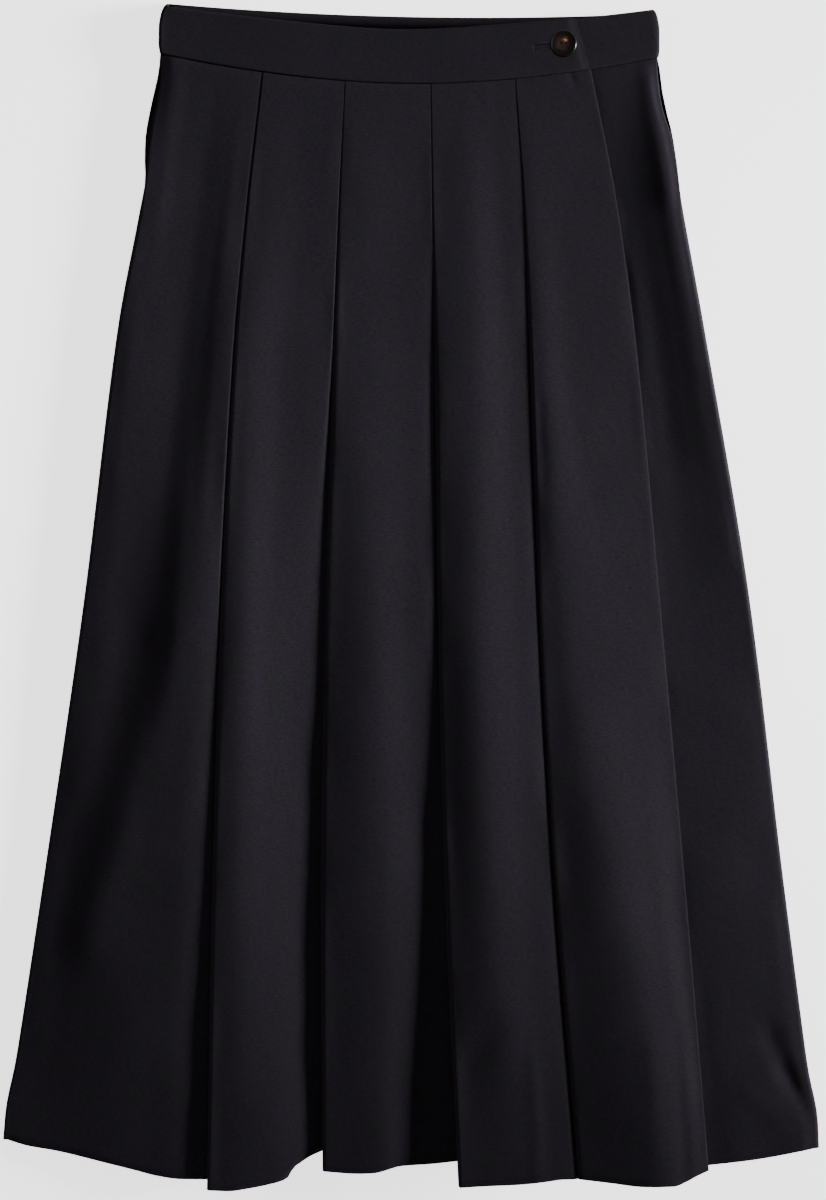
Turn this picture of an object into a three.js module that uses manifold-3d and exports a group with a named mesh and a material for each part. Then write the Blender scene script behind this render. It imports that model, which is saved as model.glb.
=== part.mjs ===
// A black pleated wrap kilt skirt, laid flat with its front up.
//
// Frame: millimetres, +Z up, the surface it lies on is Z = 0, the waist is towards +Y, and the
// wearer's right side is towards -X. The origin is under the middle of the skirt's length and width.
//
// Every cloth piece is a wall of even thickness on a sheet of centre points. The sheet's rows run
// across the skirt, one for each share of the drop from the waist seam (0) to the hem (1).

import * as THREE from "three";
import { mergeVertices } from "three/addons/utils/BufferGeometryUtils.js";
import Module from "manifold-3d";

// ---------------------------------------------------------------- driving dimensions

const CLOTH = 1.2; // skirt cloth
const BAND_CLOTH = 2.2; // waistband: cloth folded double over its stiffening
const BAG_CLOTH = 1.0; // pocket bag cloth
const SEAM_GAP = 0.3; // between pieces that are sewn together
const LAYER_STEP = 1.7; // from the middle of one pressed layer to the next

const UNDER_LEVEL = 6.8; // height of the under apron's middle
const UNDER_LEVEL_AT_WAIST = 8.0;
const OVER_LEVEL = 8.7; // height of the over apron's lowest layer
const OVER_LEVEL_AT_WAIST = 9.9;
const WAIST_EASE = 0.1; // share of the drop in which the layers settle below the waistband

const SEAM_HEIGHT = 3.6; // height at which a side seam joins back and front
const SIDE_ROLL = 3.0; // how far the cloth takes to turn over at a side
const SEAM_STAND = 0.4; // the upright strip of cloth at a side seam
const POCKET_END = 0.12; // share of the drop at which a pocket mouth ends
const POCKET_SET_IN = { left: 0.9, right: 2.2 }; // how far the front edge stands back in a mouth
const POCKET_SWELL = { left: 4.0, right: 2.8 }; // how far a bag pushes the side out at its mouth

// Where each edge and fold line crosses the skirt (X), down the drop.
const DROP = { waist: 0, pocket: 0.12, hip: 0.25, thigh: 0.5, knee: 0.75, hem: 1 };
const LINES = {
  leftSide: { waist: -178.8, pocket: -190.0, hip: -208.9, thigh: -232.8, knee: -261.0, hem: -290.7 },
  fold1: { waist: -106.5, pocket: -117.3, hip: -125.6, thigh: -136.4, knee: -141.9, hem: -145.4 },
  fold2: { waist: -47.2, pocket: -51.3, hip: -55.9, thigh: -61.5, knee: -64.4, hem: -62.9 },
  fold3: { waist: 14.3, pocket: 15.4, hip: 16.2, thigh: 18.6, knee: 24.3, hem: 33.6 },
  fold4: { waist: 74.4, pocket: 79.3, hip: 83.3, thigh: 91.5, knee: 102.6, hem: 118.3 },
  wrapEdge: { waist: 129.4, pocket: 147.0, hip: 160.9, thigh: 179.1, knee: 197.8, hem: 214.9 },
  rightSide: { waist: 176.6, pocket: 191.3, hip: 208.5, thigh: 241.0, knee: 264.6, hem: 290.7 },
  underEdge: { waist: -78.0, pocket: -76.0, hip: -74.0, thigh: -70.0, knee: -66.0, hem: -62.0 },
};

// Heights over the over apron's level, down the drop: the layer under the pleat, the top of its
// rolled lip, its crown, its brink and the foot where the fall meets the next lip. The rows ending
// in At are the places of the last three across the pleat, as shares of its width.
const PLEATS = [
  {
    base: { waist: 0, pocket: 0, hip: 0.6, thigh: 5.0, knee: 6.4, hem: 5.0 },
    lip: { waist: 3.4, pocket: 3.5, hip: 4.6, thigh: 8.6, knee: 10.4, hem: 10.2 },
    crown: { waist: 3.5, pocket: 3.6, hip: 4.8, thigh: 9.4, knee: 11.4, hem: 11.2 },
    brink: { waist: 3.1, pocket: 3.1, hip: 3.9, thigh: 8.0, knee: 9.4, hem: 9.4 },
    foot: { waist: 2.6, pocket: 2.6, hip: 2.9, thigh: 5.4, knee: 6.2, hem: 4.8 },
    crownAt: { waist: 0.2, pocket: 0.2, hip: 0.18, thigh: 0.18, knee: 0.24, hem: 0.3 },
    brinkAt: { waist: 0.6, pocket: 0.6, hip: 0.6, thigh: 0.52, knee: 0.6, hem: 0.62 },
    footAt: { waist: 0.94, pocket: 0.94, hip: 0.94, thigh: 0.87, knee: 0.86, hem: 0.87 },
  },
  {
    base: { waist: 0, pocket: 0, hip: 0.6, thigh: 4.0, knee: 4.6, hem: 4.4 },
    lip: { waist: 3.4, pocket: 3.4, hip: 4.1, thigh: 7.6, knee: 9.0, hem: 9.9 },
    crown: { waist: 3.5, pocket: 3.6, hip: 4.3, thigh: 8.8, knee: 11.7, hem: 12.0 },
    brink: { waist: 3.1, pocket: 3.1, hip: 3.7, thigh: 7.9, knee: 10.6, hem: 10.8 },
    foot: { waist: 2.6, pocket: 2.6, hip: 2.9, thigh: 7.0, knee: 8.4, hem: 5.8 },
    crownAt: { waist: 0.2, pocket: 0.22, hip: 0.25, thigh: 0.42, knee: 0.46, hem: 0.38 },
    brinkAt: { waist: 0.6, pocket: 0.65, hip: 0.7, thigh: 0.75, knee: 0.68, hem: 0.52 },
    footAt: { waist: 0.94, pocket: 0.94, hip: 0.94, thigh: 0.94, knee: 0.86, hem: 0.68 },
  },
  {
    base: { waist: 0, pocket: 0, hip: 0.5, thigh: 5.6, knee: 7.0, hem: 5.6 },
    lip: { waist: 3.4, pocket: 3.4, hip: 4.0, thigh: 9.2, knee: 11.8, hem: 13.4 },
    crown: { waist: 3.5, pocket: 3.9, hip: 4.8, thigh: 11.2, knee: 15.4, hem: 15.4 },
    brink: { waist: 3.1, pocket: 3.1, hip: 3.7, thigh: 9.8, knee: 13.4, hem: 14.4 },
    foot: { waist: 2.6, pocket: 2.6, hip: 2.9, thigh: 9.0, knee: 12.4, hem: 13.0 },
    crownAt: { waist: 0.4, pocket: 0.4, hip: 0.4, thigh: 0.42, knee: 0.42, hem: 0.5 },
    brinkAt: { waist: 0.76, pocket: 0.76, hip: 0.76, thigh: 0.76, knee: 0.76, hem: 0.78 },
    footAt: { waist: 0.94, pocket: 0.94, hip: 0.94, thigh: 0.94, knee: 0.95, hem: 0.95 },
  },
  {
    base: { waist: 0, pocket: 0, hip: 0.5, thigh: 7.4, knee: 9.6, hem: 9.8 },
    lip: { waist: 3.4, pocket: 3.4, hip: 4.0, thigh: 10.8, knee: 13.2, hem: 13.4 },
    crown: { waist: 3.5, pocket: 3.6, hip: 4.3, thigh: 11.6, knee: 16.2, hem: 19.2 },
    brink: { waist: 3.1, pocket: 2.9, hip: 3.3, thigh: 9.6, knee: 13.6, hem: 17.2 },
    foot: { waist: 2.0, pocket: 1.6, hip: 1.8, thigh: 7.6, knee: 9.6, hem: 13.4 },
    crownAt: { waist: 0.18, pocket: 0.18, hip: 0.18, thigh: 0.25, knee: 0.47, hem: 0.66 },
    brinkAt: { waist: 0.6, pocket: 0.6, hip: 0.6, thigh: 0.62, knee: 0.74, hem: 0.82 },
    footAt: { waist: 0.94, pocket: 0.94, hip: 0.94, thigh: 0.95, knee: 0.95, hem: 0.95 },
  },
];
const WRAP_HEIGHT = { waist: 0.3, pocket: 0.4, hip: 1.0, thigh: 6.8, knee: 8.6, hem: 11.6 };
const UNDERLAY = { waist: 26, pocket: 26, hip: 27, thigh: 28, knee: 29, hem: 30 };

// The side panel's heights over the same level, at shares of its width up to the first pleat's
// lower layer, and the under apron's over its own, from the wrap edge to its right side.
const SIDE_PANEL = [
  { at: 0, waist: -0.2, pocket: -0.2, hip: -0.3, thigh: -0.4, knee: -0.4, hem: -0.4 },
  { at: 0.15, waist: 0.8, pocket: 0.6, hip: 0.7, thigh: 0.8, knee: 1.0, hem: 1.4 },
  { at: 0.3, waist: 0.7, pocket: 0.3, hip: 0.8, thigh: 1.7, knee: 3.6, hem: 3.8 },
  { at: 0.5, waist: 0.8, pocket: 0.2, hip: 0.5, thigh: 3.9, knee: 7.0, hem: 6.2 },
  { at: 0.7, waist: 1.0, pocket: 0.8, hip: 1.5, thigh: 6.5, knee: 8.6, hem: 8.4 },
  { at: 0.85, waist: 1.6, pocket: 1.5, hip: 2.6, thigh: 7.6, knee: 9.8, hem: 9.8 },
  { at: 0.95, waist: 1.8, pocket: 1.7, hip: 2.6, thigh: 7.2, knee: 9.2, hem: 8.6 },
];
const UNDER_PANEL = [
  { at: 0, waist: 0, pocket: 0, hip: 0, thigh: 0, knee: 0, hem: 0 },
  { at: 0.3, waist: 0.4, pocket: 0.8, hip: 0.8, thigh: -0.2, knee: 0.3, hem: 0.2 },
  { at: 0.6, waist: 1.3, pocket: 2.3, hip: 2.3, thigh: 0.4, knee: 0.4, hem: 0.3 },
  { at: 0.85, waist: 2.4, pocket: 3.7, hip: 3.6, thigh: 0.9, knee: 0.3, hem: 0.3 },
  { at: 1, waist: 2.2, pocket: 3.5, hip: 3.5, thigh: 0.7, knee: -0.2, hem: -0.2 },
];

// The hem's Y across each visible panel, from its left end to its right end.
const HEMS = {
  side: [-385.7, -394.6, -404.5, -412.6, -414.8],
  pleat1: [-422.9, -423.4, -418.9, -406.8, -395.0],
  pleat2: [-409.3, -411.3, -407.6, -405.7, -402.2],
  pleat3: [-421.5, -420.3, -419.5, -417.8, -415.1],
  pleat4: [-415.1, -418.3, -420.9, -420.5, -410.8],
  under: [-395.5, -397.5, -400.2, -404.3, -391.5],
};
const BACK_HEM = { middle: -393.6, rise: 5.0, tilt: -2.9 };

// Soft troughs that cross the under apron: both ends (X, Y), half width and height.
const UNDER_FOLDS = [{ from: [251, -302], to: [286, -362], half: 11, height: -1.4 }];

// The waistband's edges, as bows about a middle: Y = low + rise * |X - middle / half width|^power.
const WAIST_HALF = 178;
const FRONT_SEAM = { low: 367.0, rise: 20.3, middle: 8, power: 1.85 };
const FRONT_TOP = { low: 407.4, rise: 12.8, middle: 6, power: 2 };
const BACK_SEAM = { low: 376.0, rise: 11.2, middle: 8, power: 2 };
const BACK_TOP = { low: 414.3, rise: 6.2, middle: 40, power: 2 };

const OVER_BAND_LEVEL = 10.7;
const UNDER_BAND_LEVEL = 8.0;
const BAND_LEFT = -180.0;
const BAND_RIGHT = 177.3;
// How far each folded end of the band draws in, at shares from its top edge to its seam.
const BAND_TRIM = [
  { at: 0, left: 5.2, right: 4.0 },
  { at: 0.1, left: 2.9, right: 2.0 },
  { at: 0.25, left: 1.2, right: 0.9 },
  { at: 0.5, left: 0.2, right: 0 },
  { at: 1, left: 0, right: 0 },
];
const BAND_END = { top: 119.8, bottom: 128.0 }; // X of the over band's slanted end
const UNDER_BAND_END = -78.0;

const BUTTON = { x: 109.8, y: 395.8, radius: 9.8, thick: 3.2, rim: 1.5, dish: 0.9, hole: 0.8, spread: 1.95 };
const BUTTON_LIFT = 0.6; // air between the band and the button
const SHANK_RADIUS = 1.4;
const BUTTONHOLE = { length: 26, width: 0.9, tilt: 0.14, setLeft: 8.5 };

const BAG = { reach: 92, drop: 175, corner: 38, low: 1.65, cavity: 0.8, innerTop: 372, inset: 1.0 };

// ---------------------------------------------------------------- curves

/** A smooth curve through points with rising xs that never overshoots them. */
function smoothThrough(xs, ys, x) {
  const last = xs.length - 1;
  if (x <= xs[0]) return ys[0];
  if (x >= xs[last]) return ys[last];
  const slopes = [];
  for (let i = 0; i < last; i += 1) slopes.push((ys[i + 1] - ys[i]) / (xs[i + 1] - xs[i]));
  const tangent = (i) => {
    if (i === 0) return slopes[0];
    if (i === last) return slopes[last - 1];
    const [before, after] = [slopes[i - 1], slopes[i]];
    return before * after <= 0 ? 0 : (2 * before * after) / (before + after);
  };
  let k = 0;
  while (x > xs[k + 1]) k += 1;
  const width = xs[k + 1] - xs[k];
  const t = (x - xs[k]) / width;
  const rise = ys[k] * (1 - t) ** 2 * (1 + 2 * t) + ys[k + 1] * t * t * (3 - 2 * t);
  return rise + width * (tangent(k) * t * (1 - t) ** 2 - tangent(k + 1) * t * t * (1 - t));
}

/** A table row's value at a share of the drop. */
function down(row, share) {
  return smoothThrough(Object.values(DROP), Object.values(row), share);
}

/** A table of rows with places: its value at a share of the drop and a share across. */
function across(table, share, t) {
  return smoothThrough(table.map((row) => row.at), table.map(({ at, ...row }) => down(row, share)), t);
}

/** A hem row's Y at a share of its panel's width. */
function hemAt(row, share) {
  return smoothThrough([0, 0.25, 0.5, 0.75, 1], row, share);
}

/** A waistband edge's Y at X. */
function bow(edge, x) {
  return edge.low + edge.rise * Math.abs((x - edge.middle) / WAIST_HALF) ** edge.power;
}

/** From 0 at a to 1 at b, soft at both ends. */
function ease(a, b, x) {
  return THREE.MathUtils.smoothstep(x, a, b);
}

const mix = THREE.MathUtils.lerp;

// ---------------------------------------------------------------- walls

/** The closed wall of a thickness whose middle is a sheet: rows of points, row 0 towards +Y. */
function wall(rows, thickness) {
  const [rowCount, count] = [rows.length, rows[0].length];
  const at = (j, i) => rows[Math.min(Math.max(j, 0), rowCount - 1)][Math.min(Math.max(i, 0), count - 1)];
  const positions = [];
  for (const side of [1, -1]) {
    for (let j = 0; j < rowCount; j += 1) {
      for (let i = 0; i < count; i += 1) {
        const drop = at(j + 1, i).clone().sub(at(j - 1, i));
        const across = at(j, i + 1).clone().sub(at(j, i - 1));
        const normal = drop.cross(across).normalize();
        positions.push(...at(j, i).clone().addScaledVector(normal, (side * thickness) / 2).toArray());
      }
    }
  }
  const index = (side, j, i) => side * rowCount * count + j * count + i;
  const faces = [];
  const quad = (a, b, c, d) => faces.push(a, b, c, a, c, d);
  for (let j = 0; j < rowCount - 1; j += 1) {
    for (let i = 0; i < count - 1; i += 1) {
      quad(index(0, j, i), index(0, j + 1, i), index(0, j + 1, i + 1), index(0, j, i + 1));
      quad(index(1, j, i), index(1, j, i + 1), index(1, j + 1, i + 1), index(1, j + 1, i));
    }
  }
  for (let j = 0; j < rowCount - 1; j += 1) {
    quad(index(0, j, 0), index(1, j, 0), index(1, j + 1, 0), index(0, j + 1, 0));
    const end = count - 1;
    quad(index(0, j, end), index(0, j + 1, end), index(1, j + 1, end), index(1, j, end));
  }
  for (let i = 0; i < count - 1; i += 1) {
    quad(index(0, 0, i), index(0, 0, i + 1), index(1, 0, i + 1), index(1, 0, i));
    const end = rowCount - 1;
    quad(index(0, end, i), index(1, end, i), index(1, end, i + 1), index(0, end, i + 1));
  }
  const geometry = new THREE.BufferGeometry();
  geometry.setAttribute("position", new THREE.Float32BufferAttribute(positions, 3));
  geometry.setIndex(faces);
  return geometry;
}

/** Shares of the drop for a sheet's rows, closer together below the waist. */
function dropRows(count) {
  const rows = [];
  for (let j = 0; j <= count; j += 1) rows.push((j / count) ** 1.2);
  return rows;
}

/** The height that soft folds add at a place in plan. */
function foldHeight(folds, x, y) {
  const place = new THREE.Vector2(x, y);
  let height = 0;
  for (const fold of folds) {
    const start = new THREE.Vector2(...fold.from);
    const run = new THREE.Vector2(...fold.to).sub(start);
    const along = place.clone().sub(start).dot(run) / run.lengthSq();
    const nearest = start.addScaledVector(run, THREE.MathUtils.clamp(along, 0, 1));
    height += fold.height * Math.exp(-((place.distanceTo(nearest) / fold.half) ** 2));
  }
  return height;
}

/**
 * A sheet from a section function that gives {x, z, hem, face} points. Y runs from the seam to the
 * hem, and folds act on a point by its face, from 0 on a hidden layer to 1 in the middle of a face.
 */
function sheetFrom(section, seam, rowCount, folds = []) {
  const waist = section(0);
  return dropRows(rowCount).map((share) =>
    section(share).map((point, i) => {
      const y = mix(bow(seam, waist[i].x) - SEAM_GAP / 2, point.hem, share);
      return new THREE.Vector3(point.x, y, point.z + foldHeight(folds, point.x, y) * (point.face ?? 0));
    }));
}

/** How much a fold acts at a share of a face's width. */
const faceShare = (t) => ease(0, 0.15, t) * (1 - ease(0.85, 1, t));

/** Points on an arc about (x, z), from one angle to another, in degrees. */
function arc(x, z, radiusX, radiusZ, from, to, steps) {
  const points = [];
  for (let k = 0; k <= steps; k += 1) {
    const angle = THREE.MathUtils.degToRad(mix(from, to, k / steps));
    points.push({ x: x + radiusX * Math.cos(angle), z: z + radiusZ * Math.sin(angle) });
  }
  return points;
}

// ---------------------------------------------------------------- cloth sections

const overLevel = (share) => mix(OVER_LEVEL_AT_WAIST, OVER_LEVEL, ease(0, WAIST_EASE, share));
const underLevel = (share) => mix(UNDER_LEVEL_AT_WAIST, UNDER_LEVEL, ease(0, WAIST_EASE, share));

/** How far the side of the front is turned over: little at a pocket mouth, full below it. */
const sideTurn = (share) => ease(POCKET_END, POCKET_END + 0.03, share);

/** How far open a pocket mouth is: 0 at its ends and 1 near its middle. */
const mouth = (share) => Math.sin(Math.PI * Math.min(share / POCKET_END, 1) ** 0.75);

/** X of a side's outermost edge; side is -1 or 1. */
function sideLine(side, share) {
  const [line, swell] = side < 0 ? [LINES.leftSide, POCKET_SWELL.left] : [LINES.rightSide, POCKET_SWELL.right];
  return down(line, share) + side * swell * mouth(share);
}

/** The turned side of a front panel, from the seam up to the panel's height; side is -1 or 1. */
function frontSide(x, top, share, side, steps) {
  const from = mix(128, 180, sideTurn(share));
  const low = SEAM_HEIGHT + SEAM_GAP / 2;
  const setIn = (side < 0 ? POCKET_SET_IN.left : POCKET_SET_IN.right) * mouth(share);
  const middle = x - side * (CLOTH / 2 + SIDE_ROLL + setIn);
  const turn = arc(0, low + SEAM_STAND, SIDE_ROLL, top - low - SEAM_STAND, from, 90, steps);
  turn.unshift({ x: turn[0].x, z: turn[0].z - SEAM_STAND });
  return turn.map((point) => ({ x: middle + side * Math.abs(point.x), z: point.z }));
}

// A face's points across.
const PANEL_STEPS = [0.07, 0.15, 0.24, 0.34, 0.44, 0.54, 0.64, 0.74, 0.83, 0.9, 0.95, 1];

/** The plain panel from the left side to the first fold. */
function sidePanelSection(share) {
  const right = down(LINES.fold1, share);
  const level = overLevel(share);
  const panel = [...SIDE_PANEL, { at: 1, ...PLEATS[0].base }];
  const top = level + down(SIDE_PANEL[0], share);
  const points = frontSide(sideLine(-1, share), top, share, -1, 4).map((p) => ({ ...p, hem: HEMS.side[0] }));
  const from = points[points.length - 1].x;
  for (const t of PANEL_STEPS) {
    points.push({ x: mix(from, right, t), z: level + across(panel, share, t), hem: hemAt(HEMS.side, t) });
  }
  return points;
}

/** A pleat: the underlay back to its lip, the lip, and the face to the next line. */
function pleatSection(k, from, to, hemBefore, hem, share) {
  const pleat = PLEATS[k];
  const next = k + 1 < PLEATS.length ? PLEATS[k + 1].base : WRAP_HEIGHT;
  const level = overLevel(share);
  const [base, lip] = [level + down(pleat.base, share), level + down(pleat.lip, share)];
  const radius = (lip - base - LAYER_STEP) / 2;
  const inner = LAYER_STEP / 2;
  const width = to - from;
  const lipX = from + CLOTH / 2 + radius;
  const innerX = from + down(UNDERLAY, share) - inner - CLOTH / 2;
  const points = [];
  for (const t of [0.5, 1]) points.push({ x: mix(from, innerX, t), z: base });
  points.push(...arc(innerX, base + inner, inner, inner, -90, 90, 4).slice(1));
  points.push({ x: mix(innerX, lipX, 0.5), z: base + LAYER_STEP });
  points.push(...arc(lipX, lip - radius, radius, radius, 270, 90, 6));
  points.forEach((point, i) => {
    point.hem = mix(hemBefore[hemBefore.length - 1], hem[0], ease(0, 1, (i + 1) / points.length));
  });
  const places = [(lipX - from) / width, down(pleat.crownAt, share), down(pleat.brinkAt, share),
    down(pleat.footAt, share), 1];
  const heights = [down(pleat.lip, share), down(pleat.crown, share), down(pleat.brink, share),
    down(pleat.foot, share), down(next, share)];
  for (const t of PANEL_STEPS) {
    const x = mix(lipX, to, t);
    const along = (x - from) / width;
    points.push({ x, z: level + smoothThrough(places, heights, along), hem: hemAt(hem, along) });
  }
  return points;
}

/** The over apron's whole section, from the left side seam to the wrap edge. */
function overSection(share) {
  const lines = [LINES.fold1, LINES.fold2, LINES.fold3, LINES.fold4, LINES.wrapEdge];
  const hems = [HEMS.side, HEMS.pleat1, HEMS.pleat2, HEMS.pleat3, HEMS.pleat4];
  const points = sidePanelSection(share);
  for (let k = 0; k < PLEATS.length; k += 1) {
    const [from, to] = [down(lines[k], share), down(lines[k + 1], share)];
    points.push(...pleatSection(k, from, to, hems[k], hems[k + 1], share));
  }
  return points;
}

/** The under apron's section, from its hidden edge to the right side seam. */
function underSection(share) {
  const left = down(LINES.underEdge, share);
  const wrap = down(LINES.wrapEdge, share);
  const level = underLevel(share);
  const lying = mix(level, CLOTH * 1.5 + SEAM_GAP, ease(0, WAIST_EASE, share));
  const side = frontSide(sideLine(1, share), level + across(UNDER_PANEL, share, 1), share, 1, 4).reverse();
  const points = [];
  for (const t of [0, 0.1, 0.2, 0.3, 0.42, 0.56, 0.7, 0.85, 1]) {
    const hem = mix(HEMS.under[0], HEMS.under[3], t);
    points.push({ x: mix(left, wrap, t), z: mix(lying, level, ease(0, 0.4, t)), hem });
  }
  for (const t of [0.12, 0.25, 0.4, 0.55, 0.7, 0.85]) {
    const z = level + across(UNDER_PANEL, share, t);
    const hem = mix(HEMS.under[3], HEMS.under[4], t);
    points.push({ x: mix(wrap, side[0].x, t), z, hem, face: faceShare(t) });
  }
  points.push(...side.map((p) => ({ ...p, hem: HEMS.under[4] })));
  return points;
}

/** The back panel's section: flat on the surface, its sides turned up to the seams. */
function backSection(share) {
  const ends = [sideLine(-1, share), sideLine(1, share)];
  const top = SEAM_HEIGHT - SEAM_GAP / 2;
  const rise = mix(CLOTH / 2 + 0.2, top, sideTurn(share)) - CLOTH / 2;
  const middles = [ends[0] + CLOTH / 2 + SIDE_ROLL, ends[1] - CLOTH / 2 - SIDE_ROLL];
  const turned = rise - SEAM_STAND * sideTurn(share);
  const points = arc(middles[0], CLOTH / 2 + turned, SIDE_ROLL, turned, 180, 270, 4);
  points.unshift({ x: points[0].x, z: CLOTH / 2 + rise });
  for (let k = 1; k < 10; k += 1) points.push({ x: mix(...middles, k / 10), z: CLOTH / 2 });
  points.push(...arc(middles[1], CLOTH / 2 + turned, SIDE_ROLL, turned, 270, 360, 4));
  points.push({ x: points[points.length - 1].x, z: CLOTH / 2 + rise });
  return points.map((point) => {
    const reach = point.x / LINES.rightSide.hem;
    return { ...point, hem: BACK_HEM.middle + BACK_HEM.rise * reach ** 2 + BACK_HEM.tilt * reach };
  });
}

// ---------------------------------------------------------------- waistband

/** One row of the waistband's sheet, from the over band's end round to the under band's end. */
function bandRow(share) {
  const backLevel = BAND_CLOTH / 2;
  const low = SEAM_GAP / 2;
  const frontY = (x) => mix(bow(FRONT_TOP, x), bow(FRONT_SEAM, x) + low, share);
  const backY = (x) => mix(bow(BACK_TOP, x), bow(BACK_SEAM, x) + low, share);
  const leftTurn = (OVER_BAND_LEVEL - backLevel) / 2;
  const rightTurn = (UNDER_BAND_LEVEL - backLevel) / 2;
  const trim = (key) => smoothThrough(BAND_TRIM.map((row) => row.at), BAND_TRIM.map((row) => row[key]), share);
  const leftX = BAND_LEFT + trim("left") + backLevel + leftTurn;
  const rightX = BAND_RIGHT - trim("right") - backLevel - rightTurn;
  const end = mix(BAND_END.top, BAND_END.bottom, share);
  const points = [];
  const run = (from, to, steps, y, z) => {
    for (let k = 0; k <= steps; k += 1) {
      const x = mix(from, to, k / steps);
      points.push(new THREE.Vector3(x, y(x), z));
    }
  };
  const turn = (x, z, radius, from, to, yBefore, yAfter) => {
    arc(x, z, radius, radius, from, to, 7).slice(1, -1).forEach((p, k) => {
      points.push(new THREE.Vector3(p.x, mix(yBefore(p.x), yAfter(p.x), ease(0, 7, k + 1)), p.z));
    });
  };
  run(end, leftX, 11, frontY, OVER_BAND_LEVEL);
  turn(leftX, backLevel + leftTurn, leftTurn, 90, 270, frontY, backY);
  run(leftX, rightX, 10, backY, backLevel);
  turn(rightX, backLevel + rightTurn, rightTurn, -90, 90, backY, frontY);
  run(rightX, UNDER_BAND_END, 9, frontY, UNDER_BAND_LEVEL);
  return points.reverse();
}

// ---------------------------------------------------------------- booleans

const wasm = await Module();
wasm.setup();

/** A closed geometry as a solid that can be joined and cut. */
function solid(geometry) {
  const bare = geometry.clone();
  bare.deleteAttribute("normal");
  bare.deleteAttribute("uv");
  const merged = mergeVertices(bare, 1e-4);
  const vertProperties = new Float32Array(merged.attributes.position.array);
  const triVerts = new Uint32Array(merged.index.array);
  return new wasm.Manifold(new wasm.Mesh({ numProp: 3, vertProperties, triVerts }));
}

/** A solid back as a geometry. */
function geometryOf(body) {
  const mesh = body.getMesh();
  const geometry = new THREE.BufferGeometry();
  geometry.setAttribute("position", new THREE.Float32BufferAttribute(mesh.vertProperties, 3));
  geometry.setIndex([...mesh.triVerts]);
  return geometry;
}

/** A flat plate of an outline in plan, from a height up by a thickness. */
function plate(outline, low, thickness) {
  const shape = new THREE.Shape(outline);
  const geometry = new THREE.ExtrudeGeometry(shape, { depth: thickness, bevelEnabled: false });
  return geometry.translate(0, 0, low);
}

/** The buttonhole's slit in plan: a slim lens, wide where the button's thread stands in it. */
function buttonholeCut() {
  const steps = 16;
  const outline = [];
  for (const side of [1, -1]) {
    for (let k = 0; k < steps; k += 1) {
      const t = side > 0 ? k / steps : 1 - k / steps;
      const along = mix(-BUTTONHOLE.length / 2, BUTTONHOLE.length / 2, t);
      const beside = Math.abs(along - BUTTONHOLE.setLeft);
      const spread = (SHANK_RADIUS + SEAM_GAP) * (1 - ease(SHANK_RADIUS, SHANK_RADIUS * 4, beside));
      const tip = Math.sqrt(Math.sin(Math.PI * mix(0.1, 0.9, t)));
      outline.push(new THREE.Vector2(along, side * (BUTTONHOLE.width / 2 + spread) * tip));
    }
  }
  const cut = plate(outline.reverse(), OVER_BAND_LEVEL - BAND_CLOTH, BAND_CLOTH * 2);
  cut.translate(-BUTTONHOLE.setLeft, 0, 0);
  cut.rotateZ(BUTTONHOLE.tilt);
  return cut.translate(BUTTON.x, BUTTON.y, 0);
}

/** A pocket bag: a flat pouch, its mouth along the side of the skirt; side is -1 or 1. */
function pocketBag(side) {
  const drop = FRONT_SEAM.low - HEMS.side[0];
  const edge = (share) => sideLine(side, share) - side * (CLOTH + BAG.inset);
  const yAt = (share) => bow(FRONT_SEAM, edge(0)) - 6 - share * drop;
  const outline = (reach, shrink, mouth) => {
    const points = [];
    for (const share of [0, 0.025, 0.05, 0.08, 0.11]) {
      points.push(new THREE.Vector2(edge(share) + side * mouth, yAt(share) - (share === 0 ? shrink : 0)));
    }
    const [x, y] = [edge(0.11) - side * 14, yAt(0) - BAG.drop + shrink];
    points.push(new THREE.Vector2(edge(0.14) - side * (9 + shrink), yAt(0.14)));
    points.push(new THREE.Vector2(x - side * shrink, y + BAG.corner));
    for (const p of arc(0, 0, 1, 1, 180, 270, 4)) {
      const inset = BAG.corner * (1 + p.x) + shrink;
      points.push(new THREE.Vector2(x - side * inset, y + BAG.corner * (1 + p.z)));
    }
    const far = edge(0) - side * (reach - shrink);
    for (const p of arc(0, 0, 1, 1, 270, 360, 4)) {
      points.push(new THREE.Vector2(far + side * BAG.corner * (1 - p.x), y + BAG.corner * (1 + p.z)));
    }
    points.push(new THREE.Vector2(far, BAG.innerTop - shrink));
    return points;
  };
  const thick = BAG_CLOTH * 2 + BAG.cavity;
  const outer = solid(plate(outline(BAG.reach, 0, 0), BAG.low, thick));
  const hollow = solid(plate(outline(BAG.reach, BAG_CLOTH * 3, 4), BAG.low + BAG_CLOTH, BAG.cavity));
  return geometryOf(outer.subtract(hollow));
}

/** The button: a dished disc with a round rim and two thread holes. */
function buttonGeometry() {
  const { radius, thick, rim, dish, hole, spread } = BUTTON;
  const profile = [new THREE.Vector2(0, 0), new THREE.Vector2(radius * 0.72, 0)];
  for (const p of arc(radius - rim, thick / 2, rim, thick / 2, -60, 140, 7)) {
    profile.push(new THREE.Vector2(p.x, p.z));
  }
  profile.push(new THREE.Vector2(radius - rim * 2.4, thick - dish), new THREE.Vector2(0, thick - dish));
  const disc = new THREE.LatheGeometry(profile, 32).rotateX(Math.PI / 2);
  let body = solid(disc);
  for (const side of [-1, 1]) {
    const drill = new THREE.CylinderGeometry(hole, hole, thick * 3, 10).rotateX(Math.PI / 2);
    body = body.subtract(solid(drill.translate(side * spread, 0, 0)));
  }
  return geometryOf(body);
}

// ---------------------------------------------------------------- the skirt

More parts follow.
